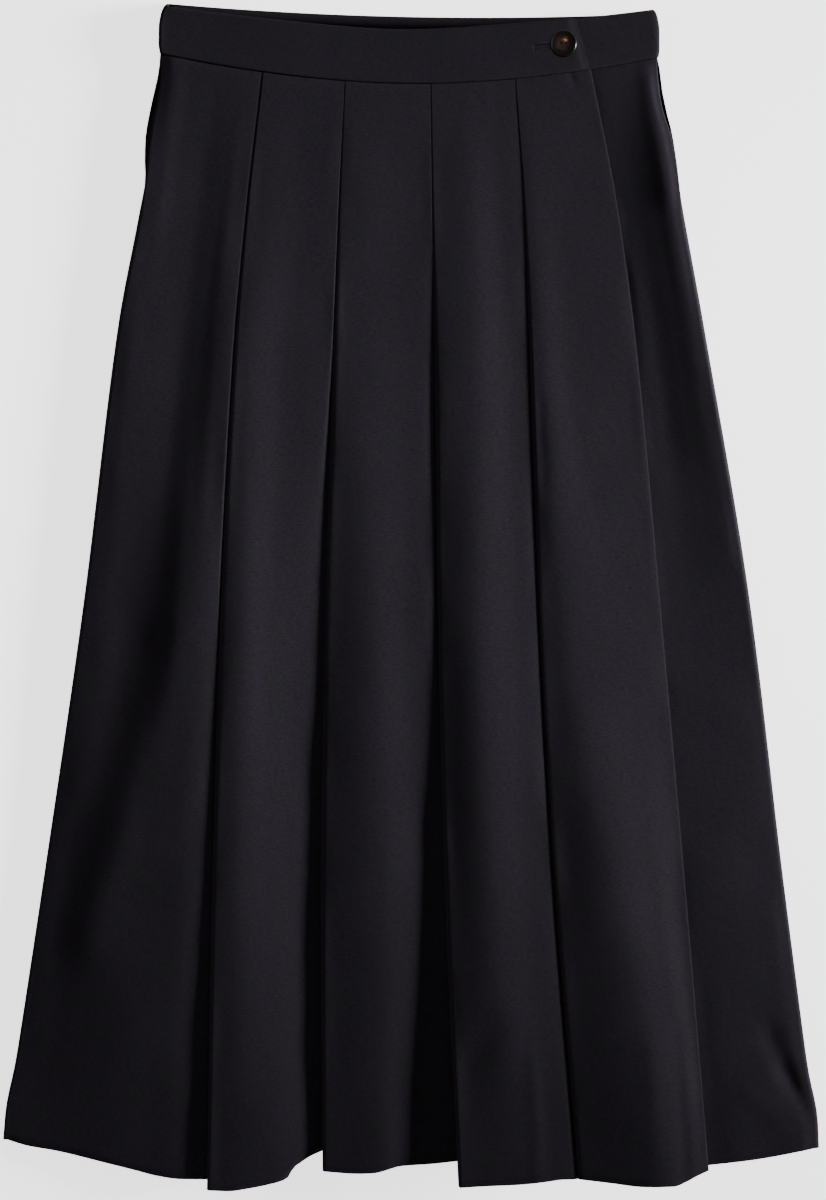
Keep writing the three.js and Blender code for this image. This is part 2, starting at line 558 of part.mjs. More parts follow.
const blackCloth = { color: 0x26242a, roughness: 0.86, metalness: 0 };
const bagCloth = { color: 0x1b1a1e, roughness: 0.8, metalness: 0 };
const horn = { color: 0x2a1d18, roughness: 0.35, metalness: 0 };
const thread = { color: 0x161518, roughness: 0.7, metalness: 0 };

/** A named sub-part in its own material. */
function part(name, geometry, look) {
  const mesh = new THREE.Mesh(geometry, new THREE.MeshStandardMaterial(look));
  mesh.name = name;
  return mesh;
}

const skirt = new THREE.Group();
skirt.name = "wrap_kilt_skirt";

skirt.add(part("back_panel", wall(sheetFrom(backSection, BACK_SEAM, 13), CLOTH), blackCloth));
skirt.add(part("under_apron", wall(sheetFrom(underSection, FRONT_SEAM, 16, UNDER_FOLDS), CLOTH), blackCloth));
skirt.add(part("over_apron", wall(sheetFrom(overSection, FRONT_SEAM, 19), CLOTH), blackCloth));

const bandSheet = BAND_TRIM.map((row) => bandRow(row.at));
const band = solid(wall(bandSheet, BAND_CLOTH)).subtract(solid(buttonholeCut()));
skirt.add(part("waistband", geometryOf(band), blackCloth));

skirt.add(part("pocket_bag_left", pocketBag(-1), bagCloth));
skirt.add(part("pocket_bag_right", pocketBag(1), bagCloth));

const bandTop = OVER_BAND_LEVEL + BAND_CLOTH / 2;
const button = part("button", buttonGeometry(), horn);
button.position.set(BUTTON.x, BUTTON.y, bandTop + BUTTON_LIFT);
skirt.add(button);

const shankLow = UNDER_BAND_LEVEL + BAND_CLOTH / 2 + SEAM_GAP;
const shankHigh = bandTop + BUTTON_LIFT - SEAM_GAP;
const shank = new THREE.CylinderGeometry(SHANK_RADIUS, SHANK_RADIUS, shankHigh - shankLow, 12);
const stalk = part("button_thread", shank.rotateX(Math.PI / 2), thread);
stalk.position.set(BUTTON.x, BUTTON.y, (shankLow + shankHigh) / 2);
skirt.add(stalk);

export default skirt;
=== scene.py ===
"""A black pleated wrap kilt skirt, laid flat with its front up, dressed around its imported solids.

Lengths inside the classes are millimetres, as a cutter would give them, and become metres when a mesh
is made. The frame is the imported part's: Z is up from the surface, Y runs from the hem to the waist.
"""

import logging
import math
from dataclasses import dataclass, field
from enum import Enum

import bpy
import numpy as np
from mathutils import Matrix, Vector


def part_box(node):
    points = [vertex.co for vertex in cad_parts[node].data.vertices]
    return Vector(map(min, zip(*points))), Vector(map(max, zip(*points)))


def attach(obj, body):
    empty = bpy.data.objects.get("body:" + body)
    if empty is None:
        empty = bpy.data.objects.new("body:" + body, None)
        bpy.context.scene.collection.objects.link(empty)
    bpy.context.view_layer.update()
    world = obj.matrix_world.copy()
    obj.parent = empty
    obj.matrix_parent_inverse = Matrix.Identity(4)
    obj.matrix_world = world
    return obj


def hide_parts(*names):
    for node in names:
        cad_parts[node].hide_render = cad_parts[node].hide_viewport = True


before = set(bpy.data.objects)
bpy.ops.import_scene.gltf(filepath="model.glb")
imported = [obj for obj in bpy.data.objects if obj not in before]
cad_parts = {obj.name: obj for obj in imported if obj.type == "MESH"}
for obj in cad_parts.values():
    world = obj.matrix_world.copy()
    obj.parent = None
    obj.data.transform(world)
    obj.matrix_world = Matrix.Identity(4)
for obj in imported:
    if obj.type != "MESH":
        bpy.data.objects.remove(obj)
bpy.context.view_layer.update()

MM = 0.001
TINY = 1e-12
EDGE_ANGLES = (45, 0, -45)
ROD_TIP = 0.02
SUITING_SHADES = ((0.0130, 0.0113, 0.0148), (0.0243, 0.0211, 0.0276))
BAND_SHADES = ((0.0122, 0.0106, 0.0139), (0.0227, 0.0197, 0.0258))
POCKETING_SHADES = ((0.012, 0.011, 0.013), (0.018, 0.017, 0.02))
THREAD_SHADES = ((0.01, 0.009, 0.011), (0.016, 0.015, 0.018))
BODY = "root"
LOG = logging.getLogger("kilt_skirt")

Row = dict[str, float]
Section = dict[str, np.ndarray]
Colour = tuple[float, float, float]
Tree = bpy.types.NodeTree
Socket = bpy.types.NodeSocket


# ---------------------------------------------------------------- curves


def smooth_through(xs: list[float], ys: list[float], x: np.ndarray | float) -> np.ndarray:
    """A smooth curve through points with rising xs that never overshoots them.

    Args:
        xs: Rising places.
        ys: The value at each place.
        x: Where the curve is wanted.

    Returns:
        The curve's values at x.
    """
    places, values = np.asarray(xs, float), np.asarray(ys, float)
    slopes = np.diff(values) / np.diff(places)
    before, after = slopes[:-1], slopes[1:]
    total = np.where(np.abs(before + after) < TINY, 1.0, before + after)
    inner = np.where(before * after <= 0, 0.0, 2 * before * after / total)
    tangents = np.concatenate([[slopes[0]], inner, [slopes[-1]]])
    at = np.clip(np.asarray(x, float), places[0], places[-1])
    k = np.clip(np.searchsorted(places, at, side="right") - 1, 0, len(places) - 2)
    width = places[k + 1] - places[k]
    t = (at - places[k]) / width
    rise = values[k] * (1 - t) ** 2 * (1 + 2 * t) + values[k + 1] * t * t * (3 - 2 * t)
    bend = tangents[k] * t * (1 - t) ** 2 - tangents[k + 1] * t * t * (1 - t)
    return rise + width * bend


def ease(low: float, high: float, x: np.ndarray | float) -> np.ndarray:
    """From 0 at low to 1 at high, soft at both ends."""
    t = np.clip((np.asarray(x, float) - low) / (high - low), 0, 1)
    return t * t * (3 - 2 * t)


def mix(a: np.ndarray | float, b: np.ndarray | float, t: np.ndarray | float) -> np.ndarray:
    """The value t of the way from a to b."""
    return a + (b - a) * t


DROP: Row = {"waist": 0, "pocket": 0.12, "hip": 0.25, "thigh": 0.5, "knee": 0.75, "hem": 1}


def drop_row(*values: float) -> Row:
    """A table row: one value for each named place down the drop."""
    return dict(zip(DROP, values, strict=True))


def down(row: Row, share: float) -> float:
    """A table row's value at a share of the drop from the waist seam to the hem."""
    return float(smooth_through(list(DROP.values()), list(row.values()), share))


def arc(x: float, z: float, wide: float, tall: float, start: float, end: float, steps: int) -> np.ndarray:
    """Points on an arc in a section.

    Args:
        x: The middle's place across.
        z: The middle's height.
        wide: Radius across.
        tall: Radius in height.
        start: First angle in degrees.
        end: Last angle in degrees.
        steps: Number of steps.

    Returns:
        An array of (x, z) rows.
    """
    angles = np.radians(np.linspace(start, end, steps + 1))
    return np.column_stack([x + wide * np.cos(angles), z + tall * np.sin(angles)])


def line_points(start: tuple | np.ndarray, end: tuple | np.ndarray, steps: int) -> np.ndarray:
    """Evenly spaced points on a straight line."""
    return np.linspace(np.array(start, float), np.array(end, float), steps + 1)


@dataclass(frozen=True)
class Bow:
    """An edge of the waistband in plan: Y = low + rise * |(X - middle) / waist_half|^power."""

    low: float
    rise: float
    middle: float
    power: float
    waist_half: float = 178.0

    def y(self, x: np.ndarray | float) -> np.ndarray:
        """The edge's Y at X."""
        return self.low + self.rise * np.abs((x - self.middle) / self.waist_half) ** self.power


# ---------------------------------------------------------------- the skirt's cut


class Side(Enum):
    """A side of the skirt, as the viewer sees it, and the way that it points along X."""

    LEFT = -1
    RIGHT = 1


@dataclass(frozen=True)
class Pleat:
    """One knife pleat: heights over the over apron's level, places as shares of its width, and how far
    its lip takes to round over."""

    base: Row
    lip: Row
    crown: Row
    crown_at: Row
    brink: Row
    brink_at: Row
    foot: Row
    foot_at: Row
    reach: Row


@dataclass(frozen=True)
class Cut:
    """The sizes that every panel shares, the same as the solids'."""

    cloth: float = 0.45
    band_cloth: float = 2.0
    seam_gap: float = 0.3
    layer_step: Row = field(default_factory=lambda: drop_row(0.5, 0.5, 0.56, 0.75, 0.9, 1.1))
    under_level: Row = field(default_factory=lambda: drop_row(8.6, 6.9, 6.8, 6.8, 6.8, 6.8))
    over_level: Row = field(default_factory=lambda: drop_row(9.9, 8.7, 8.7, 8.7, 8.7, 5.2))
    seam_height: float = 3.6
    seam_stand: float = 0.4
    side_roll: float = 2.6
    mouth_roll: float = 1.3
    pocket_end: float = 0.12
    side_steps: int = 8
    mouth_turn: float = 128.0
    turn_reach: float = 0.03
    mouth_places: tuple[float, ...] = (0, 0.015, 0.03, 0.05, 0.075, 0.1, 0.12, 0.14)
    left_swell: tuple[float, ...] = (0.2, -0.6, 0.4, 2.2, 3.5, 1.8, -0.5, -0.3)
    right_swell: tuple[float, ...] = (0, 0.1, -0.4, 0.3, 2.0, 1.85, 1.0, 0.3)
    left_set_in: tuple[float, ...] = (0.4, 1.3, 3.1, 3.9, 3.7, 2.4, 0.4, 0)
    right_set_in: tuple[float, ...] = (0.2, 1.7, 2.1, 1.9, 0.7, 0.2, 0, 0)
    corner_flare: tuple[float, float] = (1.9, 2.4)
    flare_at: float = 0.968
    flare_reach: float = 0.026
    front_seam: Bow = Bow(365.15, 20.3, 4.25, 1.85)
    front_top: Bow = Bow(407.4, 12.8, 6, 2)
    back_seam: Bow = Bow(376.0, 11.2, 8, 2)
    back_top: Bow = Bow(414.3, 6.2, 52, 2)
    lip_radius: Row = field(default_factory=lambda: drop_row(0.24, 0.24, 0.27, 0.4, 0.5, 0.8))
    wrap_height: Row = field(default_factory=lambda: drop_row(1.2, 1.2, 1.6, 5.7, 14.6, 30.6))
    hem_turned: float = 30.0
    hem_thicker: float = 0.8
    hem_blend: float = 0.02
    drop: float = 790.0
    underlay: Row = field(default_factory=lambda: drop_row(26, 26, 27, 28, 29, 30))


@dataclass(frozen=True)
class Lines:
    """Where each edge and fold line crosses the skirt (X), down the drop."""

    left_side: Row = field(default_factory=lambda: drop_row(-178.8, -190.2, -208.8, -233.0, -261.0, -290.4))
    fold_1: Row = field(default_factory=lambda: drop_row(-104.8, -115.9, -125.0, -135.2, -140.9, -144.3))
    fold_2: Row = field(default_factory=lambda: drop_row(-46.6, -51.4, -54.9, -60.6, -63.6, -62.2))
    fold_3: Row = field(default_factory=lambda: drop_row(14.4, 15.5, 17.1, 19.6, 24.8, 34.0))
    fold_4: Row = field(default_factory=lambda: drop_row(74.3, 80.9, 84.6, 91.7, 102.6, 118.3))
    wrap_edge: Row = field(default_factory=lambda: drop_row(128.2, 146.6, 160.3, 178.0, 194.4, 209.4))
    right_side: Row = field(default_factory=lambda: drop_row(176.6, 191.4, 209.6, 242.1, 265.5, 290.7))
    under_edge: Row = field(default_factory=lambda: drop_row(-78.0, -76.0, -74.0, -70.0, -66.0, -62.0))

    def folds(self) -> list[Row]:
        """The pleats' fold lines and the wrap edge, from the left."""
        return [self.fold_1, self.fold_2, self.fold_3, self.fold_4, self.wrap_edge]


@dataclass(frozen=True)
class HemLine:
    """A hem's Y across a panel, at shares of its width."""

    places: tuple[float, ...]
    ys: tuple[float, ...]

    def y(self, t: np.ndarray | float) -> np.ndarray:
        """The hem's Y at shares of the panel's width."""
        return smooth_through(self.places, self.ys, t)


@dataclass(frozen=True)
class Hems:
    """The hem across each visible panel, from its left end to its right end."""

    side: HemLine = HemLine(
        (0, 0.1, 0.25, 0.5, 0.65, 0.75, 0.87, 1),
        (-386.6, -390.7, -394.1, -402.2, -407.3, -410.8, -413.0, -413.3),
    )
    pleat_1: HemLine = HemLine(
        (0, 0.18, 0.36, 0.53, 0.65, 0.7, 0.755, 0.8, 0.885, 1),
        (-420.2, -420.7, -418.7, -415.9, -413.2, -410.9, -403.5, -401.0, -396.4, -392.4),
    )
    pleat_2: HemLine = HemLine(
        (0, 0.25, 0.38, 0.5, 0.57, 0.75, 1),
        (-406.3, -407.6, -407.0, -403.9, -402.2, -401.4, -398.9),
    )
    pleat_3: HemLine = HemLine(
        (0, 0.25, 0.5, 0.75, 0.87, 1),
        (-415.8, -414.4, -413.2, -410.8, -409.4, -409.1),
    )
    pleat_4: HemLine = HemLine(
        (0, 0.25, 0.5, 0.73, 0.83, 0.91, 1),
        (-409.0, -411.2, -413.3, -412.8, -409.4, -405.6, -402.1),
    )
    under: HemLine = HemLine((0, 0.5, 1), (-404.9, -399.9, -392.3))
    under_hidden: float = -397.0
    back_middle: float = -393.6
    back_rise: float = 5.0
    back_tilt: float = -2.9

    def front(self) -> list[HemLine]:
        """The over apron's hems, from the left."""
        return [self.side, self.pleat_1, self.pleat_2, self.pleat_3, self.pleat_4]


CUT = Cut()
LINES = Lines()
HEMS = Hems()

PLEATS = (
    Pleat(
        base=drop_row(0, 0.5, 2.3, 5.3, 6.6, 7.4),
        lip=drop_row(1.1, 1.8, 4.2, 7.3, 9.3, 12.0),
        crown=drop_row(1.15, 1.85, 4.1, 8.2, 10.3, 13.0),
        crown_at=drop_row(0.2, 0.2, 0.14, 0.2, 0.24, 0.3),
        brink=drop_row(1.1, 1.2, 2.3, 5.8, 8.6, 12.9),
        brink_at=drop_row(0.6, 0.6, 0.55, 0.5, 0.55, 0.55),
        foot=drop_row(0.98, 1.3, 2.2, 3.6, 6.2, 11.4),
        foot_at=drop_row(0.995, 0.995, 0.985, 0.84, 0.84, 0.83),
        reach=drop_row(0.4, 1.2, 2.5, 4.5, 3.2, 2.0),
    ),
    Pleat(
        base=drop_row(0, 0, 0.6, 2.9, 5.0, 9.2),
        lip=drop_row(1.1, 1.5, 2.8, 4.7, 8.9, 14.3),
        crown=drop_row(1.15, 1.5, 2.85, 7.2, 11.8, 17.0),
        crown_at=drop_row(0.2, 0.22, 0.25, 0.42, 0.5, 0.46),
        brink=drop_row(1.1, 1.15, 1.9, 5.8, 10.9, 16.2),
        brink_at=drop_row(0.6, 0.65, 0.7, 0.75, 0.72, 0.54),
        foot=drop_row(0.98, 1.25, 1.4, 5.6, 9.4, 13.6),
        foot_at=drop_row(0.995, 0.995, 0.99, 0.97, 0.9, 0.73),
        reach=drop_row(0.4, 2.4, 4.4, 4.6, 3.6, 2.0),
    ),
    Pleat(
        base=drop_row(0, 0, 0.5, 4.6, 9.8, 14.4),
        lip=drop_row(1.1, 1.5, 2.7, 6.9, 14.6, 24.0),
        crown=drop_row(1.2, 2.1, 4.0, 10.1, 18.0, 26.1),
        crown_at=drop_row(0.4, 0.4, 0.44, 0.4, 0.42, 0.6),
        brink=drop_row(1.05, 0.9, 2.2, 8.2, 16.6, 26.4),
        brink_at=drop_row(0.76, 0.76, 0.8, 0.76, 0.76, 0.8),
        foot=drop_row(0.98, 0.9, 1.7, 7.2, 16.2, 26.7),
        foot_at=drop_row(0.995, 0.995, 0.99, 0.97, 0.96, 0.96),
        reach=drop_row(0.4, 1.6, 3.4, 3.0, 2.8, 1.2),
    ),
    Pleat(
        base=drop_row(0, 0, 0.5, 6.2, 15.0, 24.8),
        lip=drop_row(1.1, 1.4, 2.7, 7.9, 16.9, 27.5),
        crown=drop_row(1.1, 1.6, 3.2, 9.3, 20.9, 33.7),
        crown_at=drop_row(0.12, 0.12, 0.13, 0.23, 0.47, 0.7),
        brink=drop_row(1.3, 1.3, 2.2, 7.5, 18.0, 32.4),
        brink_at=drop_row(0.6, 0.4, 0.37, 0.67, 0.78, 0.88),
        foot=drop_row(1.3, 1.25, 1.8, 6.1, 15.0, 31.0),
        foot_at=drop_row(0.95, 0.95, 0.95, 0.95, 0.95, 0.97),
        reach=drop_row(0.4, 1.4, 3.0, 3.0, 3.4, 4.0),
    ),
)


@dataclass(frozen=True)
class Fold:
    """A soft trough or ridge that crosses a face in plan."""

    start: tuple[float, float]
    end: tuple[float, float]
    half: float
    height: float

    def lift(self, x: np.ndarray, y: np.ndarray) -> np.ndarray:
        """The height that the fold adds.

        Args:
            x: X of each place in plan.
            y: Y of each place in plan.

        Returns:
            The height at each place.
        """
        run = np.array(self.end) - np.array(self.start)
        along = ((x - self.start[0]) * run[0] + (y - self.start[1]) * run[1]) / float(run @ run)
        held = np.clip(along, 0, 1)
        away = np.hypot(x - self.start[0] - held * run[0], y - self.start[1] - held * run[1])
        return self.height * np.exp(-((away / self.half) ** 2))


# ---------------------------------------------------------------- meshes


def unit(vectors: np.ndarray) -> np.ndarray:
    """Vectors at length 1."""
    length = np.linalg.norm(vectors, axis=-1, keepdims=True)
    return vectors / np.maximum(length, 1e-9)


def sheet_normals(grid: np.ndarray) -> np.ndarray:
    """The face-side normal at each point of a sheet whose rows run down and columns run across."""
    return unit(np.cross(np.gradient(grid, axis=0), np.gradient(grid, axis=1)))


def add_mesh(name: str, points: np.ndarray, faces: list, uvs: np.ndarray | None = None) -> bpy.types.Object:
    """A smooth-shaded mesh object.

    Args:
        name: The object's name.
        points: Vertices in millimetres.
        faces: Tuples of vertex numbers.
        uvs: One (u, v) a vertex, in metres of cloth.

    Returns:
        The new object, linked to the scene.
    """
    mesh = bpy.data.meshes.new(name)
    mesh.from_pydata((np.asarray(points, float) * MM).tolist(), [], faces)
    mesh.polygons.foreach_set("use_smooth", np.ones(len(mesh.polygons), bool))
    if uvs is not None:
        layer = mesh.uv_layers.new(name="cloth")
        corners = np.empty(len(mesh.loops), np.int32)
        mesh.loops.foreach_get("vertex_index", corners)
        layer.data.foreach_set("uv", np.asarray(uvs, float)[corners].astype(np.float32).ravel())
    mesh.update()
    made = bpy.data.objects.new(name, mesh)
    bpy.context.scene.collection.objects.link(made)
    return made


def border_loop(rows: int, columns: int) -> np.ndarray:
    """The places round a sheet's border, in order.

    Args:
        rows: The sheet's rows.
        columns: The sheet's columns.

    Returns:
        One (row, column) a place.
    """
    top = [(0, i) for i in range(columns)]
    right = [(j, columns - 1) for j in range(1, rows)]
    bottom = [(rows - 1, i) for i in range(columns - 2, -1, -1)]
    left = [(j, 0) for j in range(rows - 2, 0, -1)]
    return np.array(top + right + bottom + left)


def border_outward(grid: np.ndarray) -> np.ndarray:
    """The direction out of a sheet at its border.

    Args:
        grid: The sheet's points, rows down and columns across.

    Returns:
        A direction at each border point, and zero inside.
    """
    outward = np.zeros_like(grid)
    outward[0] += unit(grid[0] - grid[1])
    outward[-1] += unit(grid[-1] - grid[-2])
    outward[:, 0] += unit(grid[:, 0] - grid[:, 1])
    outward[:, -1] += unit(grid[:, -1] - grid[:, -2])
    return unit(outward)


def shell(name: str, grid: np.ndarray, thickness: np.ndarray | float, uv: np.ndarray) -> bpy.types.Object:
    """A thin cloth shell on a sheet, its edges rounded over.

    Args:
        name: The object's name.
        grid: The sheet's middle points, rows down and columns across, in millimetres.
        thickness: The cloth's thickness, one number or one a point.
        uv: The cloth's own coordinates at each point, in metres.

    Returns:
        The shell's object.
    """
    rows, columns = grid.shape[:2]
    half = np.broadcast_to(np.asarray(thickness, float) / 2, (rows, columns))[..., None]
    outward = border_outward(grid)
    middle = grid - outward * half
    normal = sheet_normals(middle)
    loop = border_loop(rows, columns)
    at = (loop[:, 0], loop[:, 1])
    points = [(middle + normal * half).reshape(-1, 3), (middle - normal * half).reshape(-1, 3)]
    flat_uv = uv.reshape(-1, 2)
    uvs = [flat_uv, flat_uv]
    for angle in np.radians(EDGE_ANGLES):
        lift = normal[at] * math.sin(angle) + outward[at] * math.cos(angle)
        points.append(middle[at] + lift * half[at])
        uvs.append(uv[at])
    j, i = np.meshgrid(np.arange(rows - 1), np.arange(columns - 1), indexing="ij")
    a, b = (j * columns + i).ravel(), ((j + 1) * columns + i).ravel()
    under = rows * columns
    top = np.column_stack([a, b, b + 1, a + 1])
    low = np.column_stack([a, a + 1, b + 1, b]) + under
    numbers = loop[:, 0] * columns + loop[:, 1]
    count = len(loop)
    edges = [2 * under + k * count + np.arange(count) for k in range(len(EDGE_ANGLES))]
    rings = [numbers, *edges, numbers + under]
    strips = []
    for upper, lower in zip(rings, rings[1:]):
        strips.append(np.column_stack([upper, np.roll(upper, -1), np.roll(lower, -1), lower]))
    faces = np.vstack([top, low, *strips]).tolist()
    return add_mesh(name, np.vstack(points), faces, np.vstack(uvs))


def cloth_uv(grid: np.ndarray) -> np.ndarray:
    """The cloth's own coordinates: along each row from the middle column, and down each column.

    Args:
        grid: The sheet's points in millimetres.

    Returns:
        One (u, v) a point, in metres.
    """
    anchor = grid.shape[1] // 2
    across = np.linalg.norm(np.diff(grid, axis=1), axis=-1)
    u = np.concatenate([np.zeros((len(grid), 1)), np.cumsum(across, axis=1)], axis=1)
    return np.dstack([u - u[:, anchor : anchor + 1], -grid[..., 1]]) * MM


class Unevenness:
    """A gentle random waviness of laid cloth: a sum of long waves at fixed random angles."""

    def __init__(self, seed: int, shortest: float, longest: float, height: float, waves: int = 28) -> None:
        """Draws the waves.

        Args:
            seed: Fixes the draw.
            shortest: Shortest wavelength in millimetres.
            longest: Longest wavelength in millimetres.
            height: The waviness's usual height in millimetres.
            waves: Number of waves.
        """
        draw = np.random.default_rng(seed)
        length = np.exp(draw.uniform(math.log(shortest), math.log(longest), waves))
        angle = draw.uniform(0, 2 * math.pi, waves)
        self.kx = 2 * math.pi * np.cos(angle) / length
        self.ky = 2 * math.pi * np.sin(angle) / length
        self.phase = draw.uniform(0, 2 * math.pi, waves)
        self.height = height * length / length.mean() * math.sqrt(2 / waves)

    def lift(self, x: np.ndarray, y: np.ndarray) -> np.ndarray:
        """The waviness in plan.

        Args:
            x: X of each place.
            y: Y of each place.

        Returns:
            The height at each place.
        """
        total = np.zeros_like(x)
        for kx, ky, phase, height in zip(self.kx, self.ky, self.phase, self.height):
            total += height * np.sin(kx * x + ky * y + phase)
        return total


# ---------------------------------------------------------------- finishes


def new_group(name: str, inputs: list[tuple], outputs: list[tuple]) -> Tree:
    """An empty shader node group with named sockets.

    Args:
        name: The group's name.
        inputs: (name, socket type, default) for each input.
        outputs: (name, socket type) for each output.

    Returns:
        The group, with its input and output nodes named "in" and "out".
    """
    group = bpy.data.node_groups.new(name, "ShaderNodeTree")
    for label, kind, default in inputs:
        socket = group.interface.new_socket(name=label, in_out="INPUT", socket_type=kind)
        if default is not None:
            socket.default_value = default
    for label, kind in outputs:
        group.interface.new_socket(name=label, in_out="OUTPUT", socket_type=kind)
    group.nodes.new("NodeGroupInput").name = "in"
    group.nodes.new("NodeGroupOutput").name = "out"
    return group


def feed(tree: Tree, socket: Socket, value: object) -> None:
    """Links another socket to an input, or sets a number or a vector on it.

    Args:
        tree: The node tree.
        socket: The input.
        value: An output socket, a number or a vector.
    """
    if isinstance(value, Socket):
        tree.links.new(value, socket)
    else:
        socket.default_value = value


def math_node(tree: Tree, operation: str, *values: object) -> Socket:
    """A Math node.

    Args:
        tree: The node tree.
        operation: What it does.
        *values: A socket or a number for each input.

    Returns:
        Its output.
    """
    node = tree.nodes.new("ShaderNodeMath")
    node.operation = operation
    for socket, value in zip(node.inputs, values):
        feed(tree, socket, value)
    return node.outputs[0]


def vector_node(tree: Tree, operation: str, *values: object) -> bpy.types.Node:
    """A Vector Math node.

    Args:
        tree: The node tree.
        operation: What it does.
        *values: A socket or a vector for each input.

    Returns:
        The node.
    """
    node = tree.nodes.new("ShaderNodeVectorMath")
    node.operation = operation
    for socket, value in zip(node.inputs, values):
        feed(tree, socket, value)
    return node


def scaled(tree: Tree, colour: Socket, share: Socket) -> Socket:
    """A colour times a share that changes over the surface.

    Args:
        tree: The node tree.
        colour: The colour.
        share: The share.

    Returns:
        The scaled colour.
    """
    node = vector_node(tree, "SCALE", colour)
    feed(tree, node.inputs["Scale"], share)
    return node.outputs["Vector"]


def noise_node(tree: Tree, vector: Socket, scale: float, detail: float) -> Socket:
    """A Noise Texture.

    Args:
        tree: The node tree.
        vector: Its coordinates.
        scale: Its scale.
        detail: Its octaves.

    Returns:
        Its value.
    """
    node = tree.nodes.new("ShaderNodeTexNoise")
    node.inputs["Scale"].default_value = scale
    node.inputs["Detail"].default_value = detail
    tree.links.new(vector, node.inputs["Vector"])
    return node.outputs["Fac"]


@dataclass(frozen=True)
class TwillWeave:
    """The twill that every cloth here shares: the scale of each unevenness and how much it counts."""

    threads: float = 1800.0
    slub_scale: float = 260.0
    slub_share: float = 0.3
    grain_scale: float = 620.0
    grain_stretch: tuple[float, float, float] = (0.6, 1.3, 1)
    grain_share: float = 0.85
    fibre_scale: float = 1500.0
    fibre_height: float = 0.6
    mottle_scale: float = 75.0
    mottle_height: float = 7.0
    thread_share: float = 0.2

    def group(self) -> Tree:
        """The weave on the cloth's own coordinates.

        Returns:
            A group that puts out the threads' height, their shade and a slow drift of tone.
        """
        group = new_group(
            "twill_weave",
            [("Cloth", "NodeSocketVector", None), ("Threads per metre", "NodeSocketFloat", self.threads)],
            [("Height", "NodeSocketFloat"), ("Shade", "NodeSocketFloat"), ("Tone", "NodeSocketFloat")],
        )
        source, sink = group.nodes["in"], group.nodes["out"]
        cloth, pitch = source.outputs["Cloth"], source.outputs["Threads per metre"]
        split = group.nodes.new("ShaderNodeSeparateXYZ")
        feed(group, split.inputs[0], cloth)
        across, along = (math_node(group, "MULTIPLY", split.outputs[way], pitch) for way in ("X", "Y"))
        turns = (math_node(group, "MULTIPLY", way, math.pi) for way in (across, along))
        warp, weft = (math_node(group, "ABSOLUTE", math_node(group, "SINE", turn)) for turn in turns)
        diagonal = math_node(group, "MULTIPLY", math_node(group, "ADD", across, along), math.pi / 2)
        over = math_node(group, "MULTIPLY_ADD", math_node(group, "SINE", diagonal), 0.5, 0.5)
        crossed = math_node(group, "MULTIPLY", weft, math_node(group, "SUBTRACT", 1.0, over))
        height = math_node(group, "ADD", math_node(group, "MULTIPLY", warp, over), crossed)
        drawn = vector_node(group, "MULTIPLY", cloth, self.grain_stretch).outputs["Vector"]
        slub = noise_node(group, cloth, self.slub_scale, 3.0)
        grain = noise_node(group, drawn, self.grain_scale, 3.0)
        fibre = noise_node(group, cloth, self.fibre_scale, 2.0)
        mottle = noise_node(group, cloth, self.mottle_scale, 3.0)
        relief = math_node(group, "MULTIPLY_ADD", mottle, self.mottle_height, height)
        relief = math_node(group, "MULTIPLY_ADD", fibre, self.fibre_height, relief)
        shade = math_node(group, "MULTIPLY", slub, self.slub_share)
        shade = math_node(group, "MULTIPLY_ADD", grain, self.grain_share, shade)
        shade = math_node(group, "MULTIPLY_ADD", height, self.thread_share, shade)
        for name, value in (("Height", relief), ("Shade", shade), ("Tone", mottle)):
            feed(group, sink.inputs[name], value)
        return group


def principled(name: str) -> tuple[bpy.types.Material, bpy.types.Node]:
    """A new material.

    Args:
        name: Its name.

    Returns:
        The material and its Principled shader.
    """
    material = bpy.data.materials.new(name)
    material.use_nodes = True
    return material, material.node_tree.nodes["Principled BSDF"]


def ramp_node(tree: Tree, value: Socket, *stops: tuple[float, Colour]) -> Socket:
    """A Color Ramp.

    Args:
        tree: The node tree.
        value: What it reads.
        *stops: (place, colour) for each stop.

    Returns:
        Its colour.
    """
    node = tree.nodes.new("ShaderNodeValToRGB")
    elements = node.color_ramp.elements
    while len(elements) < len(stops):
        elements.new(0.5)
    for element, (place, colour) in zip(elements, stops):
        element.position = place
        element.color = (*colour, 1.0)
    tree.links.new(value, node.inputs["Fac"])
    return node.outputs["Color"]


